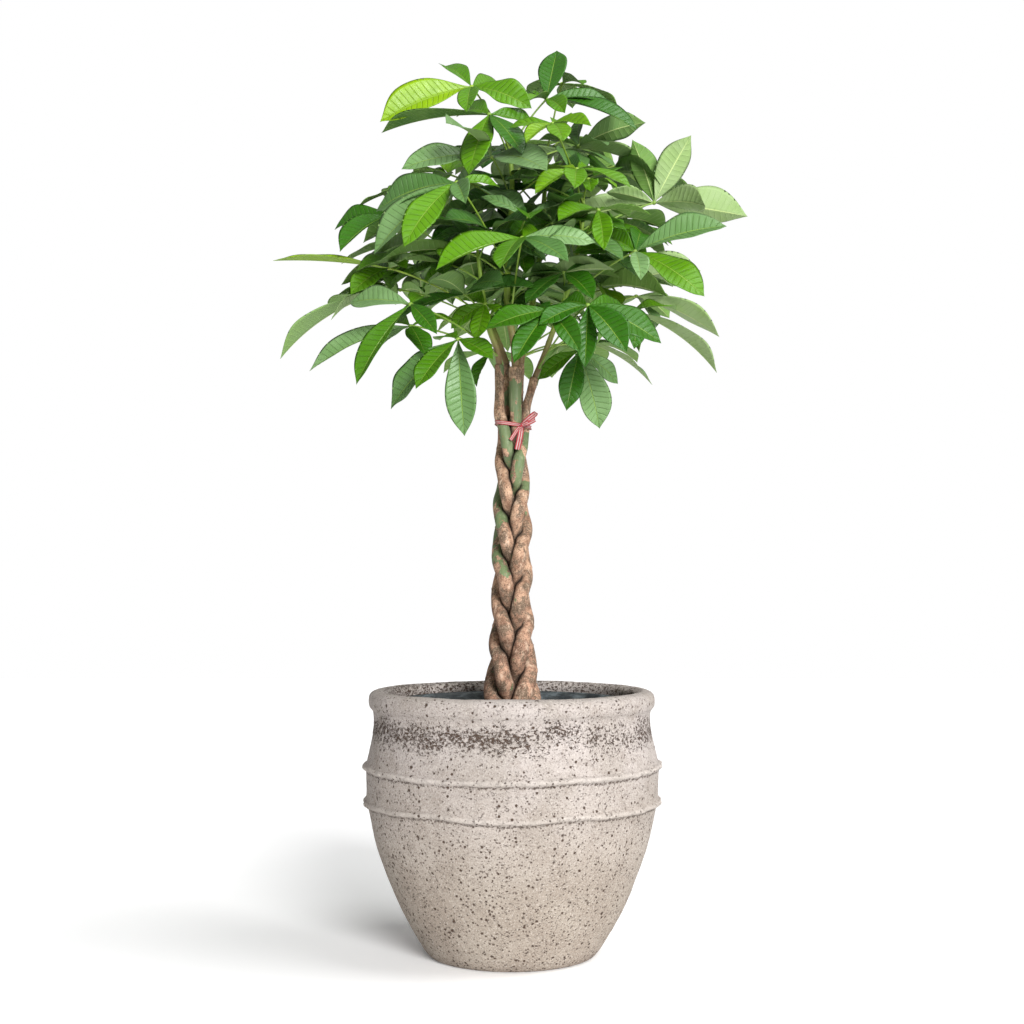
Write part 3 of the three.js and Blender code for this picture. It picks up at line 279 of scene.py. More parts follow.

# Palmate leaves: shoot, hub, direction of the upper side, tone from 0 (young, yellowish) over 1 (old, dark)
# to 1.5 (pale grey-green, partly painted sheen), and the offsets from the hub to the tips of the leaflets.
LEAVES = [
    (1, (-60, -30, 1289), (-0.1, -0.7, 0.7), (0.1, 0.6, 0.5, 0.42, 0.6),
     [(-134, -20, -58), (-45, 70, 52), (-5, -70, -58), (89, -30, -41), (50, 90, 20)]),
    (1, (-33, -90, 1231), (0, -0.7, 0.7), (0.9, 0.6, 0.9, 0.7, 0.7),
     [(-168, 60, 12), (-28, -60, -103), (48, -60, -74), (75, 60, -10), (-30, 100, 30)]),
    (1, (52, 10, 1282), (0, -0.7, 0.7), (1.1, 1.15, 1.05, 0.6, 0.6, 0.5),
     [(17, 45, 88), (104, 20, -8), (138, -30, -50), (26, -60, -38), (-45, 50, 22), (-30, -60, -22)]),
    (3, (78, 90, 1330), (0, -0.1, 1), 0.6,
     [(-62, 20, -20), (20, 100, -10), (90, 40, -25), (-50, 90, -15), (30, -60, -20)]),
    (2, (214, 10, 1126), (0.1, 0.75, 0.65), (0.8, 1.6, 1.6, 1.5, 1.5, 1.6),
     [(-33, 30, 102), (68, 20, 91), (146, 0, 6), (66, -80, -19), (-77, -30, 2), (-142, -20, -28)]),
    (2, (178, -90, 1033), (0.1, -0.8, 0.6), (1.25, 0.8, 0.7, 0.6, 1.5, 0.35),
     [(131, -10, 34), (14, 85, 45), (-48, 70, 34), (-90, 10, 0), (3, -60, -53), (95, -40, -72)]),
    (4, (-183, -20, 1022), (0, -0.5, 0.85), (0.12, 1.2, 0.4, 0.45, 0.4, 0.5),
     [(-173, 0, 11), (-45, 60, 6), (-52, -50, -48), (30, -60, -12), (91, 0, 21), (10, 100, 20)]),
    (0, (-214, 50, 994), (-0.3, -0.2, 0.9), (1.3, 1.35, 0.6, 0.6),
     [(-141, 0, -98), (-50, -60, -60), (-70, 90, -10), (30, 90, 0)]),
    (4, (-147, -80, 927), (-0.1, -0.6, 0.8), (0.8, 1.5, 1.3, 0.6, 0.6),
     [(26, -60, -53), (-147, 0, -66), (-45, -50, -42), (58, 40, -3), (-40, 80, 10)]),
    (4, (-143, -150, 947), (-0.2, -0.8, 0.6), (0.8, 1.3, 0.9, 0.6),
     [(-74, -20, -116), (-90, 50, 10), (40, -50, -50), (20, 70, 20)]),
    (4, (-76, -140, 899), (-0.1, -0.75, 0.65), (1.35, 0.7, 1.3, 0.7, 0.6),
     [(-28, 10, -134), (-46, -50, -80), (-95, 10, -107), (50, -50, -35), (-30, 80, 10)]),
    (2, (106, -160, 944), (0, -0.8, 0.6), 0.85,
     [(44, -50, -76), (100, -10, -59), (7, -20, -91), (-70, -40, -35), (-40, 70, 10), (60, 70, 0)]),
    (2, (99, -40, 897), (0, -0.85, 0.5), (0.85, 1.5, 0.7, 1.3),
     [(0, -20, -93), (14, 30, -117), (-60, 30, -40), (60, 40, -45)]),
    (3, (118, 50, 921), (0, -0.2, 1), (1.5, 0.6, 0.6, 0.6),
     [(96, -10, -66), (20, 90, -30), (80, 80, -20), (-50, 70, -40)]),
    (3, (191, 60, 994), (0.1, 0.4, 0.9), (1.5, 1.5, 0.6, 0.6),
     [(128, 0, -63), (23, -60, -60), (60, 90, -20), (-30, 80, -10)]),
    (3, (170, 100, 1018), (0.1, 0.4, 0.9), (1.6, 1.4, 1.5, 0.6, 0.6),
     [(126, 10, 22), (81, -60, -19), (148, 70, -5), (30, 120, 0), (-60, 80, 5)]),
    (2, (180, -20, 958), (0.3, -0.1, 0.95), (1.4, 0.85, 0.8, 0.6),
     [(125, 0, -92), (-3, -60, -65), (-60, 10, -40), (60, 80, -30)]),
    (1, (52, -170, 935), (0, -0.85, 0.5), 0.85,
     [(-87, -40, -34), (-52, -50, -80), (40, -60, -50), (50, 60, -10), (-20, 80, 10)]),
    (1, (14, -180, 1034), (-0.1, -0.75, 0.65), (0.52, 1.2, 1.4, 0.6, 0.6),
     [(-119, -30, -51), (62, -80, -49), (103, 10, -5), (-30, -90, -60), (30, 80, 20)]),
    (1, (20, -120, 1076), (0, -0.7, 0.7), (1.3, 1.4, 1.4, 0.7),
     [(-55, 20, 42), (-84, 70, 43), (68, 10, 22), (5, -80, -20)]),
    (1, (-77, -180, 1111), (-0.2, -0.7, 0.7), (0.52, 1.4, 1.2, 1.2, 0.6),
     [(-87, -10, -95), (-117, 30, -95), (-123, 50, -50), (15, -70, -46), (60, 30, 0)]),
    (2, (57, -150, 1201), (0, -0.6, 0.8), 0.32,
     [(-38, -50, -41), (13, -60, -52), (53, -40, -15), (-60, 20, 0), (20, 70, 15)]),
    (3, (101, 20, 1214), (-0.2, 0.5, 0.84), (1.2, 1.3, 1.2, 0.7),
     [(103, 20, 41), (10, 60, 60), (39, -80, -20), (-60, 40, 20)]),
    (2, (92, -130, 1142), (0, -0.5, 0.85), 0.3,
     [(75, -30, -34), (-60, -30, -43), (-6, -70, -45), (30, 70, 10), (-45, 60, 8)]),
    (1, (43, -40, 1151), (0, -0.4, 0.9), 0.7,
     [(-27, 70, 27), (-38, 20, -10), (-25, -60, -24), (15, -80, -25), (60, 20, 5)]),
    (2, (123, -120, 1086), (0, -0.4, 0.9), 0.5,
     [(-59, -60, -29), (5, -60, -70), (75, -10, -10), (-30, 80, 10), (50, 70, 5)]),
    (2, (113, -30, 1152), (0, 0.1, 1), 0.4,
     [(41, -30, -21), (2, -45, -30), (-40, 40, -15), (28, 60, -5)]),
    (2, (76, -60, 1008), (0, -0.6, 0.8), 0.95,
     [(-57, -45, -53), (40, -60, -50), (85, 20, -15), (-60, 60, 0)]),
    (0, (-158, 60, 1159), (-0.2, -0.3, 0.9), 0.55,
     [(-86, -10, -37), (-40, 90, 5), (40, 90, 10), (60, -20, 10), (-20, -70, -25)]),
    (0, (-184, 10, 1108), (-0.2, -0.6, 0.8), 0.8,
     [(-70, -50, -66), (-90, 60, -10), (10, 90, 10), (40, -60, -40)]),
    (1, (-95, -20, 1162), (0, -0.4, 0.9), 0.35,
     [(-21, 60, 30), (-50, 50, 15), (20, 70, 35), (-62, -10, -5), (-10, -70, -30)]),
    (4, (-39, -60, 962), (0, -0.8, 0.6), 0.5,
     [(-12, -20, -61), (-55, 10, -30), (40, -30, -30), (-20, 60, 10)]),
    (3, (75, 100, 925), (0, 0.1, 1), 0.7,
     [(-36, -20, -67), (-10, 100, -40), (60, 80, -30), (60, -20, -60)]),
    (0, (-30, 110, 918), (0, 0.1, 1), 0.7,
     [(-25, -20, -60), (-80, 50, -30), (10, 110, -30), (60, 70, -40)]),
    (1, (-24, 50, 1215), (0, -0.3, 0.95), 0.85,
     [(-70, 30, 10), (-20, -70, -45), (60, -50, -30), (40, 70, 15)]),
    (0, (-60, 20, 1085), (0, -0.5, 0.85), 0.9,
     [(-60, -70, -40), (40, -80, -40), (70, 30, 10), (-70, 40, 10)]),
    (3, (10, 70, 1075), (0, -0.5, 0.85), 0.85,
     [(-70, -50, -20), (10, -80, -60), (70, -40, -20), (-30, 70, 10)]),
    (0, (-176, 120, 1014), (-0.3, 0.2, 0.9), 0.6,
     [(-110, 20, -30), (-60, 100, 0), (20, 100, 5), (40, -40, -20)]),
]

# Leaves of the far side follow a rule: shoot, count, first azimuth, span, heights, reach.
FAR_LEAVES = [(3, 6, 20, 90, 960, 1265, 120), (0, 5, 80, 75, 950, 1190, 105)]
GOLDEN_ANGLE = 137.508
RULED_LEAFLETS = 5
FEWEST_LEAFLETS = 3
# How tips fan out: degrees apart, their scatter, shorter aside, least length and chance, level, droop.
FAR_TIPS = (52, 10, 0.12, 0.9, 0.2, -0.25, 0.35)
INNER_TIPS = (58, 14, 0.13, 0.8, 0.45, 0.1, 0.7)
RULED_TONE = 0.35
# Least share of the reach, and what chance adds to it.
FAR_REACH = (0.8, 0.4)
INNER_REACH = (0.6, 0.6)
FAR_TIP_LENGTH = 122
FAR_HUB_RISE = 30
# Small inner leaves fill the crown: count, heights and reach for each shoot.
INNER_LEAVES = [
    (4, 960, 1130, 85), (6, 960, 1215, 80), (4, 980, 1150, 75), (6, 1000, 1240, 90), (4, 940, 1060, 75),
]
INNER_TIP_LENGTH = 118
INNER_HUB_RISE = 18

# Leaf blade: shares of its length, and angles in degrees.
WIDTH_RATIO = 0.415
WIDTH_SPREAD = 0.44
FOLD = 0.33
FOLD_SPREAD = 0.4
ROLL = 40
ARCH = 0.075
TWIST = 46
# Blades set one by one: leaf and leaflet, then roll in degrees, shares of the usual width and arch.
# They keep a share of their twist.
SET_TWIST = 0.3
SET_BLADES = {
    (0, 0): (-24, 0.92, 0.7), (1, 0): (34, 0.75, 0.7), (2, 0): (-12, 1.1, 0.2), (4, 1): (0, 1, 0.6),
    (4, 2): (-8, 0.95, 0.5), (6, 0): (17, 0.55, 0.4), (9, 0): (18, 0.85, 1), (10, 0): (8, 0.8, 0.8),
    (22, 0): (-10, 1.1, 1),
}
TONE_SPREAD = 0.2
LEAFLET_SPACING = 34
SPREAD_PASSES = 40
BLADE_ROWS = 40
BLADE_ENDS = (0.02, 0.992)
BLADE_COLUMNS = (-1, -0.84, -0.62, -0.38, -0.13, 0, 0.13, 0.38, 0.62, 0.84, 1)
BLADE_THICKNESS = 0.5
MIDRIB_THICKNESS = 1.5
MIDRIB_WIDTH = 0.09
MIDRIB_GROOVE = 0.5
BLADE_SWEEP = 0.06
# Outline of a blade: how far along it is widest, its fullness, and how much its tip and its foot
# are drawn out and over what length.
LENS_BEND = 1.12
LENS_FULLNESS = 2.05
TIP_DRAWN_OUT = (0.55, 0.085)
FOOT_DRAWN_OUT = (0.4, 0.1)
# Waves of the margins: least height and what chance adds to it, and their least number.
MARGIN_WAVE = (0.5, 1.3)
FEWEST_WAVES = 1.6
VEIN_SPACING = 8.5
VEIN_RELIEF = 1.5
VEIN_SWEEP = 1.15
FEWEST_VEINS = 5
# Relief is full where a blade's half is this wide.
FULL_RELIEF_HALF = 12
STALK_ROOT = 1.3
PETIOLE_RADIUS = 1.6
# Shares of that radius in the middle of a stalk, and what is added at its foot and at its top.
PETIOLE_GIRTH = (0.85, 0.55, 0.4)
PETIOLE_RISE = 0.55
PETIOLE_ARCH = 0.1
PETIOLE_FOOT_GAP = 12
PETIOLE_TOP_GAP = 4
PETIOLE_ROWS = 16
PETIOLE_SIDES = 10
HUB_SIDES = 12
SHOOT_SIDES = 20
SHOOT_ROW = 3
SHOOT_TONE = 0.55
SHOOT_TIP = (0.92, 0.8, 0.62, 0.4)
SHOOT_ROUGH = 0.15
KNUCKLE_SPACING = 29
KNUCKLE_HEIGHT = 0.28
KNUCKLE_WIDTH = 2.2
# Share of a shoot that is woody, how woody a stalk and a hub are, and the number of their finish.
WOODY_SHARE = 1 / 1.7
PETIOLE_AGE = 0.15
HUB_AGE = 0.1
STALK_FINISH = 2
# Rings of the small hub where leaflets meet: way along the hub's axis and radius.
HUB_RINGS = [(-2.6, 1.6), (-1.4, 3.0), (0, 3.5), (1.2, 3.0), (2.0, 1.6)]
# Turns in degrees and sways that the solid leaves may have been given, and how near is a match.
TURNS = [
    (0, 0), (0, 8), (0, -8), (9, 0), (-9, 0), (0, 16), (0, -16), (9, 12), (-9, 12), (9, -12),
    (-9, -12), (16, 0), (-16, 0), (0, 25), (0, -25), (15, 20), (-15, 20), (15, -20), (-15, -20),
    (0, 36), (0, -36), (12, 32), (-12, 32), (12, -32), (-12, -32), (0, 50), (0, -50),
]
SWAYS = (0, 0.12, -0.12, 0.24, -0.24, 0.36, -0.36, 0.5, -0.5)
MATCH = 0.4
PETIOLE_SIDES_FOUND = (1.2, 2.0)

# Colours as screen values from 0 to 255. Where there are two, noise blends them.
# Paler clay above and darker, warmer clay below: partly the clay's own colour, partly painted light from
# above.
CLAY_COOL = (181, 172, 167), (166, 157, 150)
CLAY_WARM = (166, 155, 143), (154, 142, 130)
# Stains; the same colour paints shade round the foot of the pot.
CLAY_STAIN_AND_FOOT_SHADE = (130, 117, 106)
CLAY_DARK_GRAIN = (108, 97, 88)
CLAY_PALE_GRAIN = (208, 200, 191)
# Painted highlight along the crests of the pot's ridges.
CLAY_RIDGE_HIGHLIGHT = (206, 198, 190)
CLAY_FLECK = (38, 26, 19), (86, 64, 50)
PLASTIC = (42, 47, 50), (104, 113, 117)
PLASTIC_DUST = (116, 118, 113)
SOIL = (38, 27, 20), (74, 56, 42)
CRUMBS = (44, 31, 23), (104, 78, 56)
EARTH_FIBRE = (152, 126, 98)
BARK_HIGH = (200, 163, 135), (140, 106, 84)
BARK_LOW = (188, 147, 122), (112, 82, 67)
BARK_MOULD = (62, 56, 46), (122, 106, 88)
BARK_DARK_GRAIN = (78, 56, 44)
BARK_PALE_GRAIN = (214, 184, 158)
BARK_PINHOLE = (66, 48, 40)
BARK_PALE = (212, 184, 160)
BARK_PORE = (84, 60, 48)
# Painted shade in the crevices between stems.
BARK_CREVICE_SHADE = (34, 26, 20)
SKIN = (72, 94, 58), (124, 136, 98)
SKIN_STREAK = (150, 154, 124)
SKIN_SPOT = (134, 110, 80)
RIBBON_RED = (146, 12, 32), (168, 34, 50)
RIBBON_WHITE = (180, 168, 162), (162, 122, 122)
# Leaves have a young, a middle, an old and a pale tone; the pale one is partly painted sheen.
UPPER_LEAF = (130, 168, 6), (84, 134, 6), (38, 92, 8), (118, 152, 98)
UPPER_CLOUD = (54, 102, 4)
UPPER_CELLS = (104, 146, 48)
UPPER_VEINS = (120, 158, 50)
UPPER_MIDRIB = (140, 172, 66)
UNDER_LEAF = (140, 174, 62), (114, 150, 74), (82, 122, 56), (146, 170, 116)
UNDER_CLOUD = (124, 158, 76)
UNDER_VEINS = (150, 180, 112)
UNDER_MIDRIB = (196, 212, 140)
STALK = (150, 178, 60), (134, 166, 58), (116, 150, 56), (140, 168, 78)
STALK_CLOUD = (112, 138, 62)
STALK_WOODY = (98, 86, 56), (150, 120, 90)


# Numbers that repeat from run to run.
def random_source(seed):
    """Endless numbers from 0 to 1, the same ones for the same seed."""
    state = seed
    while True:
        state = (state * 1664525 + 1013904223) % 2 ** 32
        yield state / 2 ** 32


def look_up(table, at):
    """Value between the rows of a table of places and values."""
    if at <= table[0][0]:
        return table[0][1]
    for (z0, v0), (z1, v1) in zip(table, table[1:]):
        if at <= z1:
            return v0 + (v1 - v0) * (at - z0) / (z1 - z0)
    return table[-1][1]


def smooth(share):
    """Share from 0 to 1 that starts and ends gently."""
    t = min(max(share, 0), 1)
    return t * t * (3 - 2 * t)


def lattice_value(cells, seed):
    """A number from -1 to 1 for each cell of a grid, with no pattern to be seen."""
    value = cells[:, 0] * 374761393 + cells[:, 1] * 668265263 + cells[:, 2] * 1440670441
    value = (value + seed * 974634777) & 0xFFFFFFFF
    value = ((value ^ (value >> 13)) * 1274126177) & 0xFFFFFFFF
    value = (value ^ (value >> 16)) & 0xFFFF
    return value / 32767.5 - 1


def value_noise(points, size, seed=0):
    """Smooth noise from -1 to 1, with lumps of about this size."""
    scaled = np.asarray(points, dtype=float) / size
    cells = np.floor(scaled).astype(np.int64)
    part = scaled - cells
    part = part * part * (3 - 2 * part)
    total = np.zeros(len(scaled))
    for corner in np.ndindex(2, 2, 2):
        weight = np.ones(len(scaled))
        for axis in range(3):
            weight = weight * (part[:, axis] if corner[axis] else 1 - part[:, axis])
        total += weight * lattice_value(cells + np.array(corner), seed)
    return total


def layered_noise(points, size, layers, seed):
    """Noise with finer and fainter lumps in each layer."""
    parts = [value_noise(points, size / 2 ** i, seed + i) / 2 ** i for i in range(layers)]
    return sum(parts) / sum(1 / 2 ** i for i in range(layers))


def lumpy(points, table):
    """Relief from rows of height, size of a lump, layers and seed."""
    return sum(height * layered_noise(points, *lumps) for height, *lumps in table)


# Paths and meshes.
def curve_through(points, step):
    """Points every step along a smooth curve through the given points."""
    knots = np.asarray(points, dtype=float)
    padded = np.concatenate([[2 * knots[0] - knots[1]], knots, [2 * knots[-1] - knots[-2]]])
    found = []
    for i in range(1, len(padded) - 2):
        p0, p1, p2, p3 = padded[i - 1:i + 3]
        count = max(int(round(np.linalg.norm((p2 - p1)[:3]) / step)), 1)
        for t in np.arange(count) / count:
            found.append(0.5 * (2 * p1 + (p2 - p0) * t + (2 * p0 - 5 * p1 + 4 * p2 - p3) * t ** 2
                                + (3 * p1 - p0 - 3 * p2 + p3) * t ** 3))
    found.append(padded[-2])
    return np.array(found)


def unit(vectors):
    return vectors / np.linalg.norm(vectors, axis=1)[:, None]


def lengths_along(path):
    """Way along a path from its start to each of its points."""
    return np.concatenate([[0], np.cumsum(np.linalg.norm(np.diff(path, axis=0), axis=1))])


def picked_along(path, reach, wanted):
    """Points of a flat path where its reach has the wanted values."""
    return np.stack([np.interp(wanted, reach, path[:, axis]) for axis in (0, 1)], axis=1)


def turns_round(count):
    return 2 * math.pi * np.arange(count) / count


def ring_directions(turns, frame_pair):
    across, over = frame_pair
    return np.cos(turns)[:, None] * across + np.sin(turns)[:, None] * over


def tube_frames(path):
    """Directions along a path, and pairs across it that turn as little as possible."""
    along = unit(np.gradient(path, axis=0))
    across = np.array([1.0, 0.0, 0.0]) if abs(along[0][0]) < 0.9 else np.array([0.0, 1.0, 0.0])
    frames = []
    for direction in along:
        across = across - direction * across.dot(direction)
        across = across / np.linalg.norm(across)
        frames.append((across, np.cross(direction, across)))
    return along, frames


def grid_faces(rows, columns):
    """Faces between rows of points; the last column joins the first."""
    faces = []
    for row in range(rows - 1):
        for column in range(columns):
            a = row * columns + column
            b = row * columns + (column + 1) % columns
            faces.append((a, b, b + columns, a + columns))
    return faces


def capped_faces(rows, columns):
    """Faces of a grid, closed at both ends on the two points that follow those of the grid."""
    first = rows * columns
    top = first - columns
    faces = grid_faces(rows, columns)
    faces += [(first, (s + 1) % columns, s) for s in range(columns)]
    faces += [(first + 1, top + s, top + (s + 1) % columns) for s in range(columns)]
    return faces


def tube_places(turns, lengths):
    """Places on a capped tube: share of a turn, and length in metres."""
    shares = np.tile(turns / (2 * math.pi), len(lengths))
    places = np.stack([shares, np.repeat(lengths, len(turns)) * MM], axis=1)
    return np.concatenate([places, [[0, lengths[0] * MM], [0, lengths[-1] * MM]]])


def add_object(name, data):
    made = bpy.data.objects.new(name, data)
    bpy.context.scene.collection.objects.link(made)
    return made


def stand_in(made, node):
    """Puts a piece in the place of a solid node of the one body."""
    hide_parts(node)
    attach(made, "root")


class Sheets:
    """Collects vertices, faces and values per vertex, and turns them into one object."""

    def __init__(self, *value_names):
        self.points = []
        self.faces = []
        self.finishes = []
        self.places = []
        self.values = {name: [] for name in value_names}
        self.count = 0

    def add(self, points, faces, finish=0, places=None, **values):
        count = len(points)
        self.points.append(np.asarray(points, dtype=float))
        self.faces.extend([tuple(int(i) + self.count for i in face) for face in faces])
        self.finishes.extend([finish] * len(faces) if np.isscalar(finish) else finish)
        self.places.append(np.zeros((count, 2)) if places is None else places)
        for name, kept in self.values.items():
            kept.append(np.broadcast_to(np.asarray(values.get(name, 0.0), dtype=float), count))
        self.count += count

    def add_tube(self, path, radii, sides, finish=0, **values):
        """Round closed tube; each value is a number for each point of the path."""
        along, frames = tube_frames(path)
        turns = turns_round(sides)
        rings = [centre + radius * ring_directions(turns, pair)
                 for centre, radius, pair in zip(path, radii, frames)]
        ends = [path[:1] - along[:1] * radii[0] * TUBE_DOME, path[-1:] + along[-1:] * radii[-1] * TUBE_DOME]
        spread = {}
        for name, value in values.items():
            row_values = np.broadcast_to(value, len(path))
            spread[name] = np.concatenate([np.repeat(row_values, sides), row_values[[0, -1]]])
        places = tube_places(turns, lengths_along(path))
        self.add(np.concatenate(rings + ends), capped_faces(len(path), sides), finish, places, **spread)

    def add_turning(self, grid, **values):
        """A turned body from a grid of rings; its first and last rings close on the axis."""
        ends = [[0, 0, grid[0, 0, 2]], [0, 0, grid[-1, 0, 2]]]
        kept = {name: np.concatenate([value.reshape(-1), [0, 0]]) for name, value in values.items()}
        self.add(np.concatenate([grid.reshape(-1, 3), ends]), capped_faces(*grid.shape[:2]), **kept)

    def build(self, name, materials):
        mesh = bpy.data.meshes.new(name)
        mesh.from_pydata((np.concatenate(self.points) * MM).tolist(), [], self.faces)
        for material in materials:
            mesh.materials.append(material)
        mesh.polygons.foreach_set("material_index", self.finishes)
        mesh.polygons.foreach_set("use_smooth", [True] * len(self.faces))
        corners = np.zeros(len(mesh.loops), dtype=np.int64)
        mesh.loops.foreach_get("vertex_index", corners)
        layer = mesh.uv_layers.new(name="UVMap")
        layer.data.foreach_set("uv", np.concatenate(self.places)[corners].astype(np.float32).ravel())
        for value_name, kept in self.values.items():
            attribute = mesh.attributes.new(value_name, "FLOAT", "POINT")
            attribute.data.foreach_set("value", np.concatenate(kept).astype(np.float32))
        mesh.validate()
        mesh.update()
        return add_object(name, mesh)


# Braid. Each stem is a row of rings: x, y, z, radius, wanted x, wanted y, held.
def braid_centre(stem, z):
    """Going down, a stem moves slowly inward in front and quickly outward behind, first from
    the left edge and half a pitch later from the right edge."""
    turns = (BRAID_EDGE_HEIGHT - z) / BRAID_PITCH - stem / STEM_COUNT
    phase = turns - math.floor(turns)
    side = -1 if phase < 0.5 else 1
    step = phase % 0.5
    if step < BRAID_INWARD:
        across = 1 - (step / BRAID_INWARD) ** BRAID_EASE
    else:
        across = -math.sin(math.pi / 2 * (step - BRAID_INWARD) / (0.5 - BRAID_INWARD))
    reach = look_up(BRAID_WIDTH, z) / 2 - look_up(STEM_RADIUS, z)
    return side * reach * across, -BRAID_DEPTH * math.cos(4 * math.pi * (step - BRAID_FOREMOST))


def wanted_centre(stem, z):
    """Where a stem would run if it were alone: upright, then braided, then free above the tie."""
    if z < BRAID_FOOT:
        return braid_centre(stem, BRAID_FOOT)
    low, top, _ = ABOVE_TIE[stem]
    climb = max((z - low[2]) / (top[2] - low[2]), 0)
    woven = braid_centre(stem, min(z, low[2]))
    share = smooth((z - TIE_HEIGHT + FREE_BELOW_TIE) / FREE_STRETCH)
    free = [low[axis] + (top[axis] - low[axis]) * climb for axis in (0, 1)]
    return tuple(woven[axis] + (free[axis] - woven[axis]) * share for axis in (0, 1))


def stem_radius(stem, z):
    """Radius of a solid stem, which tapers above the tie."""
    low, top, radius = ABOVE_TIE[stem]
    if z <= TIE_HEIGHT:
        return look_up(STEM_RADIUS, z)
    at_tie = look_up(STEM_RADIUS, low[2])
    return at_tie + (radius - at_tie) * smooth((z - TIE_HEIGHT) / (top[2] - TIE_HEIGHT) * TAPER_HASTE)


def stem_rings(stem):
    """Rings of a stem from its foot to its top, which stays where it is."""
    top = ABOVE_TIE[stem][1][2]
    count = round((top - STEM_FOOT) / RING_SPACING)
    rings = []
    for i in range(count + 1):
        z = STEM_FOOT + (top - STEM_FOOT) * i / count
        x, y = wanted_centre(stem, z)
        rings.append([x, y, z, stem_radius(stem, z), x, y, i == count])
    return rings


def between(rings, at):
    """The two rings about a place in a row of rings, its share between them, and its own ring."""
    i = min(int(at), len(rings) - 2)
    share = at - i
    a, b = rings[i], rings[i + 1]
    return a, b, share, [a[k] + (b[k] - a[k]) * share for k in range(6)]


def shift(a, b, share, dx, dy):
    """Moves a point between two rings by moving the rings, unless they are held."""
    for ring, weight in ((a, 1 - share), (b, share)):
        if not ring[6]:
            ring[0] += dx * weight
            ring[1] += dy * weight


def push_apart(first, i, second, j):
    """Two points of different stems move apart, mostly in depth, until they nearly clear."""
    a, b, share, p = between(first, i)
    c, d, part, q = between(second, j)
    dx, dy, dz = q[0] - p[0], q[1] - p[1], q[2] - p[2]
    wanted = (p[3] + q[3]) * (1 - STEM_PRESS)
    apart = math.sqrt(dx * dx + dy * dy + dz * dz)
    if apart >= wanted:
        return
    behind = -1 if q[5] < p[5] else 1
    depth = math.sqrt(max(wanted ** 2 - dx ** 2 - dz ** 2, 0)) - behind * dy
    push_y = DEPTH_GIVE * max(depth, 0) * behind
    push_x = SIDEWAYS_GIVE * (wanted - apart) * (1 if dx > 0 else -1)
    shift(a, b, share, -push_x, -push_y)
    shift(c, d, part, push_x, push_y)


def push_stems(first, second):
    step = 1 / SAMPLES_PER_RING
    i = 0.0
    while i <= len(first) - 1:
        j = max(i - RING_REACH, 0)
        last = min(i + RING_REACH, len(second) - 1)
        while j <= last:
            push_apart(first, i, second, j)
            j += step
        i += step


def pull_home(rings):
    """Draws rings back to where they were wanted, and evens out their depth."""
    for before, ring, after in zip(rings, rings[1:], rings[2:]):
        middle = ring[5] if ring[2] > TIE_HEIGHT else 0
        ring[0] += HOME_HOLD * (ring[4] - ring[0])
        ring[1] += SMOOTHING * ((before[1] + after[1]) / 2 - ring[1]) + DEPTH_HOLD * (middle - ring[1])


def plumb_foot(rings):
    """The stems stand upright below the braid."""
    settled = next(ring for ring in rings if ring[2] >= BRAID_FOOT)
    for ring in rings:
        if ring[2] < BRAID_FOOT:
            ring[0:2] = settled[0:2]


def relaxed_stems():
    """The braid with its stems side by side: none cuts through another."""
    stems = [stem_rings(stem) for stem in range(STEM_COUNT)]
    for _ in range(RELAX_PASSES):
        for rings in stems:
            pull_home(rings)
        for a in range(STEM_COUNT):
            for b in range(a + 1, STEM_COUNT):
                push_stems(stems[a], stems[b])
        for rings in stems:
            plumb_foot(rings)
    return stems


def leaf_scars(stem, top):
    """Height, turn and relief of each leaf scar on a stem."""
    random = random_source(SEED + 31 * stem)
    low, spread = SCAR_RELIEF
    return [(z + SCAR_SCATTER * next(random), 2 * math.pi * next(random), low + spread * next(random))
            for z in np.arange(SCAR_FOOT, top - SCAR_TOP_GAP, SCAR_SPACING)]


def scar_relief(height, turns, scars):
    """Leaf scars: low crescents part of the way round a stem."""
    relief = np.zeros(len(turns))
    for level, turn, tall in scars:
        away = np.abs((turns - turn + math.pi) % (2 * math.pi) - math.pi)
        line = level + SCAR_DROP * np.cos(away)
        relief += tall * np.exp(-((height - line) / SCAR_HEIGHT) ** 2) * np.clip(1.5 - away / SCAR_SPAN, 0, 1)
    return relief


def green_skin(stem, points):
    """1 where the smooth green skin shows, with blotched edges."""
    heights = points[:, 2]
    bare, full = GREEN_LEVELS
    wanted = np.full(len(points), bare)
    for low, high in GREEN_STRETCHES[stem]:
        edge = np.minimum(heights - low, high - heights) / GREEN_EDGE
        wanted = np.maximum(wanted, np.clip(edge, bare, full))
    blotches = layered_noise(points * [1, 1, 0.5], GREEN_BLOTCH, 4, 20 + stem)
    return np.clip((wanted + blotches * 1.15) * 3.2 + 0.5, 0, 1)


def stem_path(stem, rings):
    """Centre points of a stem and its radius at each, from just under the soil."""
    seen = [ring[:3] for ring in rings if ring[2] > SOIL_EDGE_HEIGHT - STEM_CURVE_START]
    path = curve_through(seen, STEM_ROW)
    path = path[path[:, 2] > SOIL_EDGE_HEIGHT - STEM_IN_SOIL]
    heights = path[:, 2]
    path[:, 0] *= [look_up(BRAID_DRAWN_IN, z) for z in heights]
    girth = STEM_GIRTH + [(ABOVE_TIE[stem][1][2], TOP_GIRTH[stem])]
    return path, np.array([stem_radius(stem, z) * look_up(girth, z) for z in heights])


def crevice_depth(points, others):
    """Painted shade between stems: 1 where another stem touches, falling off as the gap to it opens."""
    gaps = np.full(len(points), FAR_AWAY)
    for path, radii in others:
        for start in range(0, len(points), POINTS_AT_ONCE):
            part = slice(start, start + POINTS_AT_ONCE)
            away = np.linalg.norm(points[part][:, None] - path[None], axis=2) - radii
            gaps[part] = np.minimum(gaps[part], away.min(axis=1))
    return np.exp(-gaps.clip(0) / CREVICE_SHADE_REACH)


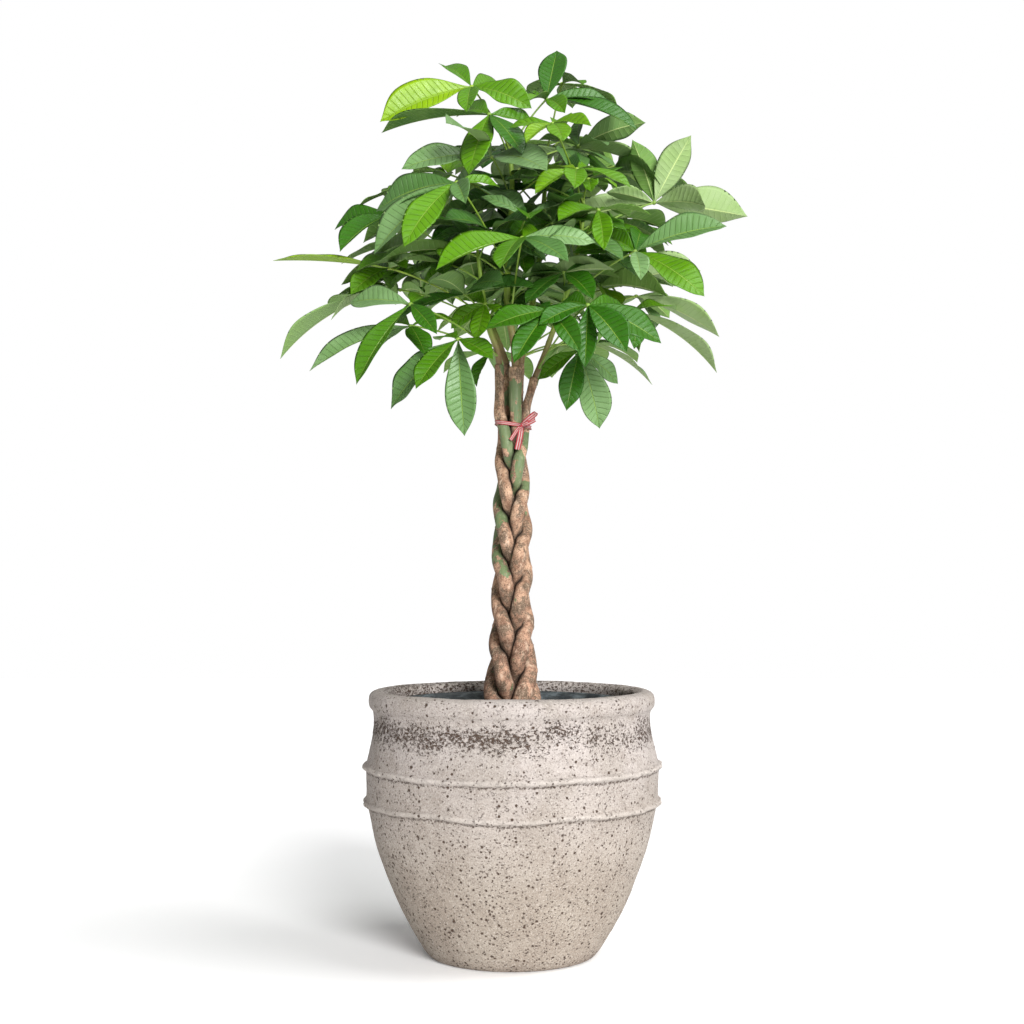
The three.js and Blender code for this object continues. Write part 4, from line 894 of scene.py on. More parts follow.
def make_stem(stem, paths, bark):
    path, radii = paths[stem]
    scars = leaf_scars(stem, path[-1, 2])
    along, frames = tube_frames(path)
    turns = turns_round(STEM_SIDES)
    rows = []
    for centre, radius, pair in zip(path, radii, frames):
        out = ring_directions(turns, pair)
        surface = centre + radius * out
        relief = BARK_SWELL * radius * layered_noise(surface, SWELL_SIZE, 2, 3 + stem)
        relief += BARK_ROUGH * layered_noise(surface * [1, 1, 0.6], ROUGH_SIZE, 2, 9 + stem)
        relief += scar_relief(centre[2], turns, scars)
        rows.append(centre + (radius + relief)[:, None] * out)
    rows[-1] = path[-1] + (rows[-1] - path[-1]) * STEM_TOP_SHARE
    points = np.concatenate(rows + [path[:1], path[-1:] + along[-1:] * STEM_TOP_DOME])
    # Painted shade where the other stems come close.
    crevice = crevice_depth(points, paths[:stem] + paths[stem + 1:])
    sheets = Sheets("green", "crevice")
    sheets.add(points, capped_faces(len(path), STEM_SIDES), 0, tube_places(turns, path[:, 2]),
               green=green_skin(stem, points), crevice=crevice)
    stand_in(sheets.build(f"bark_stem_{stem + 1}", [bark]), f"stem_{stem + 1}")


# Leaves.
def leaflet_frame(up, tip):
    """Upper side and sideways direction of a leaflet that points at its tip."""
    along = tip.normalized()
    normal = up - along * up.dot(along)
    if normal.length < 0.1:
        normal = Vector((0, -1, 0.2))
    normal.normalize()
    return normal, normal.cross(along)


def spread_tips(up, tips):
    """Turns tips about the hub so that neighbours keep their spacing."""
    normal = up.normalized()
    east = (Vector((1, 0, 0)) - normal * normal.x).normalized()
    north = normal.cross(east)
    starts = [math.atan2(tip.dot(north), tip.dot(east)) for tip in tips]
    order = sorted(range(len(tips)), key=lambda i: starts[i])
    angles = [starts[i] for i in order]
    spacing = math.radians(LEAFLET_SPACING)
    count = len(tips)
    for _ in range(SPREAD_PASSES):
        for i in range(count):
            j = (i + 1) % count
            gap = angles[j] - angles[i] + (2 * math.pi if i == count - 1 else 0)
            if gap < spacing:
                angles[i] -= (spacing - gap) / 2
                angles[j] += (spacing - gap) / 2
    turned = list(tips)
    for k, i in enumerate(order):
        turned[i] = Quaternion(normal, angles[k] - starts[i]) @ tips[i]
    return turned


def turn_tip(up, tip, turn):
    """A tip turned sideways and raised by a pair of degrees."""
    normal, side = leaflet_frame(up, tip)
    raised = Quaternion(side, -math.radians(turn[1])) @ tip
    return Quaternion(normal, math.radians(turn[0])) @ raised


def found_tips(tree, hub, up, tips, tones):
    """The turned tips that the solid leaf has, found by its own corners, with their numbers and tones."""
    found = []
    for i, (tip, tone) in enumerate(zip(spread_tips(up, tips), np.broadcast_to(tones, len(tips)))):
        for turn in TURNS:
            turned = turn_tip(up, tip, turn)
            if tree.find(hub + turned)[2] < MATCH:
                found.append((i, turned, tone))
                break
    return found


def shoot_point(shoot, z):
    """Centre of a shoot at a height, or its nearest end."""
    path = SHOOTS[shoot]
    for low, high in zip(path, path[1:]):
        if z <= high[2] or high is path[-1]:
            share = min(max((z - low[2]) / (high[2] - low[2]), 0), 1)
            return Vector(low[:3]).lerp(Vector(high[:3]), share)


def petiole_foot(shoot, hub):
    """A leaf stalk leaves its shoot below the leaf, and lower for a leaf that is farther away."""
    path = SHOOTS[shoot]
    level = shoot_point(shoot, hub.z)
    away = math.hypot(hub.x - level.x, hub.y - level.y)
    height = max(hub.z - PETIOLE_RISE * away, path[0][2] + PETIOLE_FOOT_GAP)
    return shoot_point(shoot, min(height, path[-1][2] - PETIOLE_TOP_GAP))


def petiole_path(foot, hub, sway, count):
    """Points along a leaf stalk, which arches up and sways to a side."""
    span = hub - foot
    aside = Vector((-span.y, span.x, 0)).normalized() * (sway * span.length)
    bend = foot + span * 0.5 + aside + Vector((0, 0, PETIOLE_ARCH * span.length))
    shares = [i / count for i in range(count + 1)]
    return [foot * (1 - t) ** 2 + bend * (2 * t * (1 - t)) + hub * t ** 2 for t in shares]


def found_petiole(tree, foot, hub):
    """The path whose middle ring the solid petiole has."""
    nearest, farthest = PETIOLE_SIDES_FOUND

    def corners(sway):
        middle = petiole_path(foot, hub, sway, 4)[2]
        return len([hit for hit in tree.find_range(middle, farthest) if hit[2] > nearest])
    best = max(SWAYS, key=lambda sway: (corners(sway), -abs(sway)))
    return petiole_path(foot, hub, best, PETIOLE_ROWS)


def blade_width(t):
    """Share of the full width along a blade: a lens, widest just past its middle, with drawn-out ends."""
    lens = 1 - np.abs(2 * np.clip(t, 0, 1) ** LENS_BEND - 1) ** LENS_FULLNESS
    tip, tip_length = TIP_DRAWN_OUT
    foot, foot_length = FOOT_DRAWN_OUT
    return lens * (1 - tip * np.exp((t - 1) / tip_length)) * (1 - foot * np.exp(-t / foot_length))


def blade_form(length, t, v, random, by_hand):
    """Ways along and across a blade, its lift, its turn and the phase of its side veins."""
    side = np.abs(v)
    along = t + BLADE_SWEEP * side ** 1.2 * np.sin(math.pi * t)
    chance_width = 1 + WIDTH_SPREAD * (next(random) - 0.5)
    roll, width_share, arch_share = by_hand or (None, chance_width, 1)
    width = WIDTH_RATIO * length * width_share
    half = np.maximum(width / 2 * blade_width(t), STALK_ROOT * (1 - t))
    twist = TWIST * (next(random) - 0.5) * (t - 0.2)
    chance_roll = ROLL * (next(random) - 0.5)
    turn = np.radians(SET_TWIST * twist + roll if by_hand else twist + chance_roll)
    fold = (FOLD + FOLD_SPREAD * (next(random) - 0.5)) * half * side ** 1.15
    phase = along * vein_count(length) - VEIN_SWEEP * side
    breadth = np.clip(half / FULL_RELIEF_HALF, 0, 1)
    relief = VEIN_RELIEF * (np.abs(np.sin(math.pi * phase)) ** 0.7 - 0.6)
    relief *= np.sin(math.pi * side ** 0.8).clip(0) * breadth
    least, chance = MARGIN_WAVE
    wave = least + chance * next(random)
    wave = wave * np.sin(2 * math.pi * ((FEWEST_WAVES + next(random)) * t + next(random)) + 1.5 * v)
    wave *= v ** 2 * breadth
    lift = arch_share * ARCH * length * 4 * along * (1 - along) + fold + relief + wave
    return along, v * half, lift, turn, phase


def vein_count(length):
    return max(round(length / VEIN_SPACING), FEWEST_VEINS)


def add_leaflet(sheets, hub, up, tip, tone, random, by_hand=None):
    """A closed blade: midrib groove, puckers between side veins, waved margins, thin edges."""
    length = tip.length
    normal, side = (np.array(v) for v in leaflet_frame(up, tip))
    hub, tip = np.array(hub), np.array(tip)
    t = np.linspace(*BLADE_ENDS, BLADE_ROWS)[:, None]
    v = np.array(BLADE_COLUMNS)[None, :]
    along, aside, lift, turn, phase = blade_form(length, t, v, random, by_hand)
    across = np.cos(turn)[..., None] * side + np.sin(turn)[..., None] * normal
    middle = hub + along[..., None] * tip + lift[..., None] * normal + aside[..., None] * across
    rib = np.exp(-(v / MIDRIB_WIDTH) ** 2) * (1 - t) ** 0.7
    skin = BLADE_THICKNESS / 2 * (1 - np.abs(v) ** 6)
    top = middle + (skin - MIDRIB_GROOVE * rib)[..., None] * normal
    under = middle - (skin + MIDRIB_THICKNESS * rib)[..., None] * normal
    upper = len(BLADE_COLUMNS) - 1
    ring = 2 * upper
    faces = capped_faces(BLADE_ROWS, ring)
    finish = [0 if i % ring < upper else 1 for i in range(len(faces))]
    points = np.concatenate([top, under[:, -2:0:-1]], axis=1).reshape(-1, 3)
    points = np.concatenate([points, [hub], [hub + tip]])

    def round_blade(values, root, end):
        there_and_back = np.concatenate([values, values[:, -2:0:-1]], axis=1).reshape(-1)
        return np.concatenate([there_and_back, [root, end]])
    v = np.broadcast_to(v, along.shape)
    places = np.stack([round_blade(v * 0.5 + 0.5, 0.5, 0.5), round_blade(along, 0, 1)], axis=1)
    tones = np.full(len(points), tone + TONE_SPREAD * (next(random) - 0.5))
    sheets.add(points, [face[::-1] for face in faces], finish, places, tone=tones,
               vein=round_blade(phase, 0, vein_count(length)), across=round_blade(v, 0, 0))


def ruled_tips(out, length, rule, random):
    """Tips of the leaflets of one leaf, fanned about the direction in which it points."""
    spacing, scatter, taper, least, chance, level, droop = rule
    tips = []
    for leaflet in range(RULED_LEAFLETS):
        off = leaflet - (RULED_LEAFLETS - 1) / 2
        turn = math.radians(off * spacing + scatter * (next(random) - 0.5))
        reach = length * (1.1 - taper * abs(off)) * (least + chance * next(random))
        direction = Quaternion((0, 0, 1), turn) @ out
        direction.z = level - droop * next(random)
        tips.append(direction.normalized() * reach)
    return tips


def ruled_direction(degrees):
    azimuth = math.radians(degrees)
    return Vector((math.cos(azimuth), math.sin(azimuth), 0))


def far_leaves():
    """Leaves of the far side, spread by the golden angle over a part of the crown."""
    random = random_source(SEED)
    leaves = []
    for shoot, count, start, span, low, high, reach in FAR_LEAVES:
        for i in range(count):
            height = low + (high - low) * (i + 0.5) / count
            away = reach * (FAR_REACH[0] + FAR_REACH[1] * next(random))
            out = ruled_direction(start + (i * GOLDEN_ANGLE) % span)
            hub = shoot_point(shoot, height) + out * away
            hub.z = height + FAR_HUB_RISE
            up = (out * 0.3 + Vector((0, 0, 1))).normalized()
            tips = ruled_tips(out, FAR_TIP_LENGTH, FAR_TIPS, random)
            leaves.append((shoot, hub, up, RULED_TONE + 0.12 * (i % 4), tips))
    return leaves


def inner_leaves(shoot):
    """Small leaves close to a shoot, turned by the golden angle from one to the next."""
    random = random_source(SEED + 57 * shoot)
    count, low, high, reach = INNER_LEAVES[shoot]
    leaves = []
    for i in range(count):
        height = low + (high - low) * (i + 0.5) / count
        out = ruled_direction(60 * shoot + i * GOLDEN_ANGLE)
        hub = shoot_point(shoot, height) + out * reach * (INNER_REACH[0] + INNER_REACH[1] * next(random))
        hub.z = height + INNER_HUB_RISE
        up = (out * 0.5 + Vector((0, -0.25, 1))).normalized()
        tips = ruled_tips(out, INNER_TIP_LENGTH, INNER_TIPS, random)
        leaves.append((hub, up, RULED_TONE + 1.1 * next(random), tips))
    return leaves


def add_stalk(sheets, path, hub, up, tone):
    """Leaf stalk, thicker at its ends, and the small hub where its leaflets meet."""
    path = np.array([tuple(point) for point in path])
    shares = np.linspace(0, 1, len(path))
    middle, foot, top = PETIOLE_GIRTH
    radii = PETIOLE_RADIUS * (middle + foot * np.exp(-shares / 0.06) + top * np.exp((shares - 1) / 0.05))
    sheets.add_tube(path, radii, PETIOLE_SIDES, STALK_FINISH, tone=tone, across=PETIOLE_AGE)
    steps, radii = np.array(HUB_RINGS).T
    path = np.array(hub) + steps[:, None] * np.array(up.normalized())
    sheets.add_tube(path, radii, HUB_SIDES, STALK_FINISH, tone=tone, across=HUB_AGE)


def add_shoot(sheets, shoot):
    """Green shoot with a knuckle at each old leaf; it is woody at its foot."""
    path = curve_through(SHOOTS[shoot], SHOOT_ROW)
    shares = np.linspace(0, 1, len(path))
    off = path[:, 2] % KNUCKLE_SPACING - KNUCKLE_SPACING // 2
    knuckles = KNUCKLE_HEIGHT * np.exp(-(off / KNUCKLE_WIDTH) ** 2)
    radii = path[:, 3] + knuckles + SHOOT_ROUGH * value_noise(path[:, :3], 7, shoot)
    radii[-len(SHOOT_TIP):] *= SHOOT_TIP
    age = np.clip(1 - shares / WOODY_SHARE, 0, 1)
    sheets.add_tube(path[:, :3], radii, SHOOT_SIDES, STALK_FINISH, tone=SHOOT_TONE, across=age)


def corner_tree(node):
    """The corners of a solid in millimetres, ready to be searched."""
    corners = sorted({tuple(round(value / MM, 3) for value in vertex.co) for vertex in node.data.vertices})
    tree = kdtree.KDTree(len(corners))
    for i, corner in enumerate(corners):
        tree.insert(corner, i)
    tree.balance()
    return tree


def make_foliage(shoot, leaves, finishes):
    """One shoot with the leaves that its solid has, and its inner leaves."""
    tree = corner_tree(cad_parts[f"foliage_{shoot + 1}"])
    random = random_source(SEED + 101 * shoot)
    sheets = Sheets("tone", "vein", "across")
    add_shoot(sheets, shoot)
    for number, (owner, hub, up, tone, tips) in enumerate(leaves):
        if owner != shoot:
            continue
        hub, up = Vector(hub), Vector(up).normalized()
        found = found_tips(tree, hub, up, [Vector(tip) for tip in tips], tone)
        if len(found) < FEWEST_LEAFLETS:
            continue
        for i, tip, blade_tone in found:
            add_leaflet(sheets, hub, up, tip, blade_tone, random, SET_BLADES.get((number, i)))
        add_stalk(sheets, found_petiole(tree, petiole_foot(shoot, hub), hub), hub, up, found[0][2])
    for hub, up, tone, tips in inner_leaves(shoot):
        for tip in tips:
            add_leaflet(sheets, hub, up, tip, tone, random)
        add_stalk(sheets, petiole_path(petiole_foot(shoot, hub), hub, 0, PETIOLE_ROWS), hub, up, tone)
    stand_in(sheets.build(f"leafy_shoot_{shoot + 1}", finishes), f"foliage_{shoot + 1}")


# Pot, liner and soil.
def resample(profile, count, density):
    """Count points along a profile, closer together where the density is greater."""
    steps = np.linalg.norm(np.diff(profile, axis=0), axis=1)
    weights = steps * density((profile[1:] + profile[:-1]) / 2)
    reach = np.concatenate([[0], np.cumsum(weights)])
    return picked_along(profile, reach, np.linspace(0, reach[-1], count))


def turned_points(profile, columns):
    """Rings of points turned from a profile, the directions out of the surface, and their angles."""
    angles = turns_round(columns)
    slope = unit(np.gradient(profile, axis=0))

    def turned(radius, height):
        x, y = radius[:, None] * np.cos(angles), radius[:, None] * np.sin(angles)
        return np.stack([x, y, np.broadcast_to(height[:, None], x.shape)], axis=2)
    return turned(profile[:, 0], profile[:, 1]), turned(slope[:, 1], -slope[:, 0]), angles


def ridge_line(angles, height):
    """Height of a wavy clay ridge round the pot."""
    round_trip = np.stack([np.cos(angles), np.sin(angles), np.zeros_like(angles)], axis=1)
    return height + lumpy(round_trip, [(tall, size, layers, height + seed)
                                       for tall, size, layers, seed in RIDGE_WAVES])


def ridge_distance(points, angles):
    """Height above the nearest ridge, and no more than a set distance either way."""
    nearest = np.full(points.shape[:2], RIDGE_NEARBY)
    for height in POT_RIDGES:
        away = points[..., 2] - ridge_line(angles, height)
        nearest = np.where(np.abs(away) < np.abs(nearest), away, nearest)
    return nearest


def clay_relief(points, angles):
    """Height of the clay's lumps and ridges, and of the wear on its neck."""
    flat = points.reshape(-1, 3)
    heights = flat[:, 2]
    relief = lumpy(flat, CLAY_LUMPS)
    outside = np.hypot(flat[:, 0], flat[:, 1]) > RIDGE_MIN_RADIUS
    for height in POT_RIDGES:
        line = np.tile(ridge_line(angles, height), points.shape[0])
        away = (heights - line) / RIDGE_WIDTH
        crumbly = RIDGE_CRUMBLE[0] + RIDGE_CRUMBLE[1] * layered_noise(flat, *RIDGE_GRIT, height)
        depth, below, width = RIDGE_GROOVE
        shape = np.exp(-np.abs(away) ** RIDGE_SQUARENESS) - depth * np.exp(-((away + below) / width) ** 2)
        relief += RIDGE_HEIGHT * crumbly * shape * outside
    neck = np.exp(-((heights - NECK_HEIGHT) / NECK_BAND) ** 2)
    relief -= NECK_WEAR * neck * np.clip(layered_noise(flat, *NECK_GRIT) + 0.15, 0, 1)
    return relief.reshape(points.shape[:2])


def outer_density(middles):
    """Rows of the pot are closer together at its ridges."""
    closer, reach = RIDGE_ROWS
    return 1 + closer * sum(np.exp(-((middles[:, 1] - height) / reach) ** 2) for height in POT_RIDGES)


def inner_density(middles):
    """Rows inside the pot are closer together where they show."""
    return 1 + SEEN_ROWS * (middles[:, 1] > POT_SEEN_ABOVE)


def make_pot(clay):
    outer = resample(curve_through(POT_OUTER, OUTER_STEP), POT_OUTER_ROWS, outer_density)
    inner = resample(curve_through([POT_OUTER[-1]] + POT_INNER, INNER_STEP), POT_INNER_ROWS, inner_density)
    inner[:, 0] = inner[:, 0].clip(POT_INNER[-1][0])
    profile = np.concatenate([outer, inner[1:]])
    radius, height = profile.T
    inside = np.arange(len(profile)) >= POT_OUTER_ROWS
    points, out, angles = turned_points(profile, POT_COLUMNS)
    relief = clay_relief(points, angles) * np.clip(points[..., 2] / POT_FOOT_EASE, 0, 1)
    relief *= np.where(inside & (height < POT_SEEN_ABOVE), 0, 1)[:, None]
    points = points + relief[..., None] * out
    points[..., 2] = points[..., 2].clip(0)
    worn = inside & (height > POT_WORN_ABOVE) & (radius < POT_WORN_RADIUS)
    worn = np.broadcast_to(worn[:, None] * 1.0, points.shape[:2])
    sheets = Sheets("ridge", "worn")
    sheets.add_turning(points, ridge=ridge_distance(points, angles), worn=worn)
    stand_in(sheets.build("clay_pot", [clay]), "pot")


def liner_radius(z):
    """Outer radius of the liner's slanting wall."""
    share = (z - POT_FLOOR) / (LINER_RIM_HEIGHT - POT_FLOOR)
    return LINER_FOOT_RADIUS + (LINER_RIM_RADIUS - LINER_FOOT_RADIUS) * share


def make_liner(plastic):
    top = LINER_RIM_HEIGHT
    round_out, round_in = LINER_FOOT_ROUND
    outer_step, inner_step = LINER_STEPS
    lip = [(liner_radius(top - level) + out, top - below) for level, out, below in LINER_LIP]
    outer = [(liner_radius(z), z) for z in LINER_OUTER_HEIGHTS]
    outer.insert(0, (LINER_FOOT_RADIUS - round_out, LINER_FOOT))
    inner = [(liner_radius(z) - LINER_WALL, z) for z in LINER_INNER_HEIGHTS]
    inner.append((LINER_FOOT_RADIUS - round_in, LINER_FOOT + LINER_WALL))
    profile = curve_through(outer + lip, outer_step)[:-1]
    profile = np.concatenate([profile, curve_through([lip[-1]] + inner, inner_step)])
    sheets = Sheets()
    sheets.add_turning(turned_points(profile, LINER_COLUMNS)[0])
    stand_in(sheets.build("liner_pot", [plastic]), "liner")


def soil_top(radius):
    share = radius / (liner_radius(SOIL_EDGE_HEIGHT) - LINER_WALL)
    return SOIL_CENTRE_HEIGHT + (SOIL_EDGE_HEIGHT - SOIL_CENTRE_HEIGHT) * share ** 2


def make_soil_body(earth):
    foot, edge = (liner_radius(z) - LINER_WALL - SOIL_GAP for z in (SOIL_FOOT, SOIL_EDGE_HEIGHT))
    side = [(foot, SOIL_FOOT), (edge, SOIL_EDGE_HEIGHT)]
    top = [(radius, soil_top(radius)) for radius in np.linspace(edge - 2, 1, SOIL_RINGS)]
    points = turned_points(np.array(side + top), SOIL_COLUMNS)[0]
    points[2:, :, 2] += lumpy(points[2:].reshape(-1, 3), SOIL_LUMPS).reshape(SOIL_RINGS, SOIL_COLUMNS)
    sheets = Sheets()
    sheets.add_turning(points)
    return sheets.build("soil_body", [earth])


def random_value(tree, low, high, seed):
    """A random number or vector for each point, between two others."""
    kind, first, out = ("FLOAT_VECTOR", 0, 0) if isinstance(low, tuple) else ("FLOAT", 2, 1)
    values = {first: low, first + 1: high, "Seed": seed}
    return put(tree, "FunctionNodeRandomValue", values, data_type=kind).outputs[out]


def dented_crumb(tree, radius):
    """One crumb: a small ball with its corners moved by noise."""
    ball = put(tree, "GeometryNodeMeshIcoSphere", {"Radius": radius, "Subdivisions": 1})
    bumps = put(tree, "ShaderNodeTexNoise", {"Scale": 420})
    dents = {0: bumps.outputs["Color"], 1: (2 * CRUMB_DENT * MM,) * 3, 2: (-CRUMB_DENT * MM,) * 3}
    offset = put(tree, "ShaderNodeVectorMath", dents, operation="MULTIPLY_ADD").outputs[0]
    values = {"Geometry": ball.outputs["Mesh"], "Offset": offset}
    return put(tree, "GeometryNodeSetPosition", values).outputs["Geometry"]


def soil_points(tree, given):
    """Points scattered on the top of the soil."""
    height = axis_of(put(tree, "GeometryNodeInputPosition").outputs[0], "Z")
    upper = put(tree, "FunctionNodeCompare", {"A": height, "B": (SOIL_EDGE_HEIGHT - 3) * MM},
                operation="GREATER_THAN")
    values = {"Geometry": given["Geometry"], "Selection": upper.outputs["Result"]}
    surface = put(tree, "GeometryNodeSeparateGeometry", values, domain="FACE").outputs["Selection"]
    density = calculated("DIVIDE", given["Count"], math.pi * (CRUMB_FIELD * MM) ** 2)
    values = {"Mesh": surface, "Density": density, "Seed": SEED}
    scatter = put(tree, "GeometryNodeDistributePointsOnFaces", values, distribute_method="RANDOM")
    return scatter.outputs["Points"]


def crumb_nodes(chips):
    """Scatters crumbs of soil and bark on the top of the soil."""
    tree = bpy.data.node_groups.new("soil crumbs", "GeometryNodeTree")
    sockets = tree.interface
    sockets.new_socket("Geometry", in_out="INPUT", socket_type="NodeSocketGeometry")
    sockets.new_socket("Count", in_out="INPUT", socket_type="NodeSocketInt").default_value = CRUMB_COUNT
    lengths = {"Smallest": CRUMB_SIZES[0], "Largest": CRUMB_SIZES[1], "Crumb": CRUMB_RADIUS * MM}
    for name, value in lengths.items():
        sockets.new_socket(name, in_out="INPUT", socket_type="NodeSocketFloat").default_value = value
    sockets.new_socket("Geometry", in_out="OUTPUT", socket_type="NodeSocketGeometry")
    given = tree.nodes.new("NodeGroupInput").outputs
    spin = random_value(tree, (0, 0, 0), (CRUMB_TURN,) * 3, 1)
    shape = random_value(tree, *CRUMB_SHAPES, 2)
    size = random_value(tree, given["Smallest"], given["Largest"], 3)
    scale = put(tree, "ShaderNodeVectorMath", {0: shape, "Scale": size}, operation="SCALE").outputs[0]
    values = {"Points": soil_points(tree, given), "Instance": dented_crumb(tree, given["Crumb"]),
              "Rotation": spin, "Scale": scale}
    placed = put(tree, "GeometryNodeInstanceOnPoints", values).outputs["Instances"]
    real = put(tree, "GeometryNodeRealizeInstances", {"Geometry": placed}).outputs["Geometry"]
    finished = put(tree, "GeometryNodeSetMaterial", {"Geometry": real, "Material": chips})
    put(tree, "NodeGroupOutput", {"Geometry": finished.outputs["Geometry"]})
    return tree


def evaluated_copy(made, name):
    mesh = bpy.data.meshes.new_from_object(made.evaluated_get(bpy.context.evaluated_depsgraph_get()))
    mesh.name = name
    return add_object(name, mesh)


def make_soil(earth, chips):
    body = make_soil_body(earth)
    scatterer = body.copy()
    bpy.context.scene.collection.objects.link(scatterer)
    modifier = scatterer.modifiers.new("crumbs", "NODES")
    modifier.node_group = crumb_nodes(chips)
    for item in modifier.node_group.interface.items_tree:
        if item.name == "Count":
            modifier[item.identifier] = CRUMB_COUNT
    crumbs = evaluated_copy(scatterer, "soil_crumbs")
    bpy.data.objects.remove(scatterer)
    stand_in(body, "soil")
    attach(crumbs, "root")


# Tie.
def band_outline(stems):
    """Outline round all stems at the tie, clockwise from above and a little clear of them."""
    rim = []
    for rings in stems:
        for z in (TIE_HEIGHT - TIE_BAND / 2, TIE_HEIGHT, TIE_HEIGHT + TIE_BAND / 2):
            x, y, _, radius = between(rings, (z - STEM_FOOT) / (rings[1][2] - rings[0][2]))[3][:4]
            reach = radius + TIE_CLEARANCE
            turns = turns_round(RIM_POINTS)
            rim.append(np.stack([x + reach * np.cos(turns), y + reach * np.sin(turns)], axis=1))
    rim = np.concatenate(rim)

    def support(turn):
        return np.max(rim @ [math.cos(turn), math.sin(turn)])
    outline = []
    half = math.pi / BAND_CORNERS
    for s in range(BAND_CORNERS):
        angle = 2 * math.pi * (s + 0.5) / BAND_CORNERS
        before, after = support(angle - half), support(angle + half)
        along = (after + before) / 2 / math.cos(half)
        aside = (after - before) / 2 / math.sin(half)
        outline.append([along * math.cos(angle) - aside * math.sin(angle),
                        along * math.sin(angle) + aside * math.cos(angle)])
    outline = np.array(outline + outline[:1])
    reach = lengths_along(outline)
    return picked_along(outline, reach, np.linspace(reach[-1], 0, 2 * BAND_CORNERS + 1)[:-1])


def add_ribbon(sheets, path, width, sideways, outward, closed, seed):
    """Thin creased ribbon: places hold its width (0 to 1) and its length in metres."""
    columns = RIBBON_COLUMNS
    v = np.linspace(-0.5, 0.5, columns)
    count = len(path)
    widths = np.broadcast_to(width, count)[:, None, None]
    middle = path[:, None, :] + v[None, :, None] * widths * sideways[:, None, :]
    flat = middle.reshape(-1, 3)
    (deep, long), (shallow, short) = RIBBON_CREASES
    crease = deep * value_noise(flat * [1.6, 1, 1], long, seed) + shallow * value_noise(flat, short, seed + 1)
    lift = crease.reshape(count, columns)[..., None] + (RIBBON_CUP * (np.abs(v) * 2) ** 2)[None, :, None]
    front = middle + (lift + RIBBON_THICKNESS / 2) * outward[:, None, :]
    back = middle + (lift - RIBBON_THICKNESS / 2) * outward[:, None, :]
    ring = 2 * columns
    points = np.concatenate([front, back[:, ::-1]], axis=1).reshape(-1, 3)
    if closed:
        faces = [tuple(i % (count * ring) for i in face) for face in grid_faces(count + 1, ring)]
    else:
        faces = grid_faces(count, ring)
        last = (count - 1) * ring
        for s in range(columns - 1):
            faces.append((s + 1, s, ring - 1 - s, ring - 2 - s))
            faces.append((last + s, last + s + 1, last + ring - 2 - s, last + ring - 1 - s))
    across = np.tile(np.concatenate([v + 0.5, v[::-1] + 0.5]), count)
    sheets.add(points, faces, 0, np.stack([across, np.repeat(lengths_along(path), ring) * MM], axis=1))


def add_band(sheets, stems):
    """The ribbon on its way round the stems."""
    outline = band_outline(stems)
    path = np.concatenate([outline, TIE_HEIGHT + TIE_SLOPE * outline[:, :1]], axis=1)
    outward = np.concatenate([unit(outline), np.zeros((len(outline), 1))], axis=1)
    upward = np.tile([0.0, 0.0, 1.0], (len(path), 1))
    add_ribbon(sheets, path, TIE_BAND, upward, outward, True, 51)


def add_bow_part(sheets, i):
    """A loop or a tail of the bow, pinched at the knot."""
    width, points = RIBBONS[i]
    path = curve_through(points, RIBBON_ROW)
    along = unit(np.gradient(path, axis=0))
    sway = [value_noise(path, 9, 60 + i), np.zeros(len(path)), value_noise(path, 9, 70 + i)]
    face = np.tile([0.0, -1.0, 0.0], (len(path), 1)) + RIBBON_SWAY * np.stack(sway, axis=1)
    sideways = unit(np.cross(along, face))
    shares = np.linspace(0, 1, len(path))
    pinched = 1 - RIBBON_PINCH * np.exp(-shares / PINCH_LENGTH)
    if i < BOW_LOOPS:
        pinched *= 1 - RIBBON_PINCH * np.exp((shares - 1) / PINCH_LENGTH)
    add_ribbon(sheets, path, width * pinched, sideways, np.cross(sideways, along), False, 80 + i)


def make_tie(stems, cloth):
    sheets = Sheets()
    add_band(sheets, stems)
    for i in range(len(RIBBONS)):
        add_bow_part(sheets, i)
    steps = np.linspace(-KNOT_LENGTH / 2, KNOT_LENGTH / 2, KNOT_ROWS)[:, None]
    knot = np.array(KNOT) + steps * (KNOT_RADIUS * np.array(KNOT_LEAN))
    ball = np.sqrt(1 - np.linspace(-KNOT_ROUND, KNOT_ROUND, KNOT_ROWS) ** 2)
    sheets.add_tube(knot, KNOT_RADIUS * ball * KNOT_THICKNESS, KNOT_SIDES)
    made = sheets.build("ribbon_tie", [cloth])
    stand_in(made, "tie")


# Finishes. A shader value is a number, a screen colour or another node's output.
def put(tree, kind, values=None, **settings):
    """Adds a node, makes its settings and fills its inputs."""
    made = tree.nodes.new(kind)
    for name, value in settings.items():
        setattr(made, name, value)
    for key, value in (values or {}).items():
        if isinstance(value, bpy.types.NodeSocket):
            tree.links.new(value, made.inputs[key])
        else:
            made.inputs[key].default_value = value
    return made


def tree_of(*values):
    """The node tree that the first node output among some values belongs to."""
    return next(value.id_data for value in values if isinstance(value, bpy.types.NodeSocket))


def linear(colour):
    """Screen colour of 0 to 255 as the shader's linear one; a node's output stays as it is."""
    if isinstance(colour, bpy.types.NodeSocket):
        return colour
    parts = [value / 255 for value in colour]
    return tuple(v / 12.92 if v <= 0.04045 else ((v + 0.055) / 1.055) ** 2.4 for v in parts) + (1,)


def calculated(operation, *values):
    return put(tree_of(*values), "ShaderNodeMath", dict(enumerate(values)), operation=operation).outputs[0]


plus = partial(calculated, "ADD")
minus = partial(calculated, "SUBTRACT")
times = partial(calculated, "MULTIPLY")
times_plus = partial(calculated, "MULTIPLY_ADD")
larger = partial(calculated, "MAXIMUM")
unsigned = partial(calculated, "ABSOLUTE")
sine = partial(calculated, "SINE")


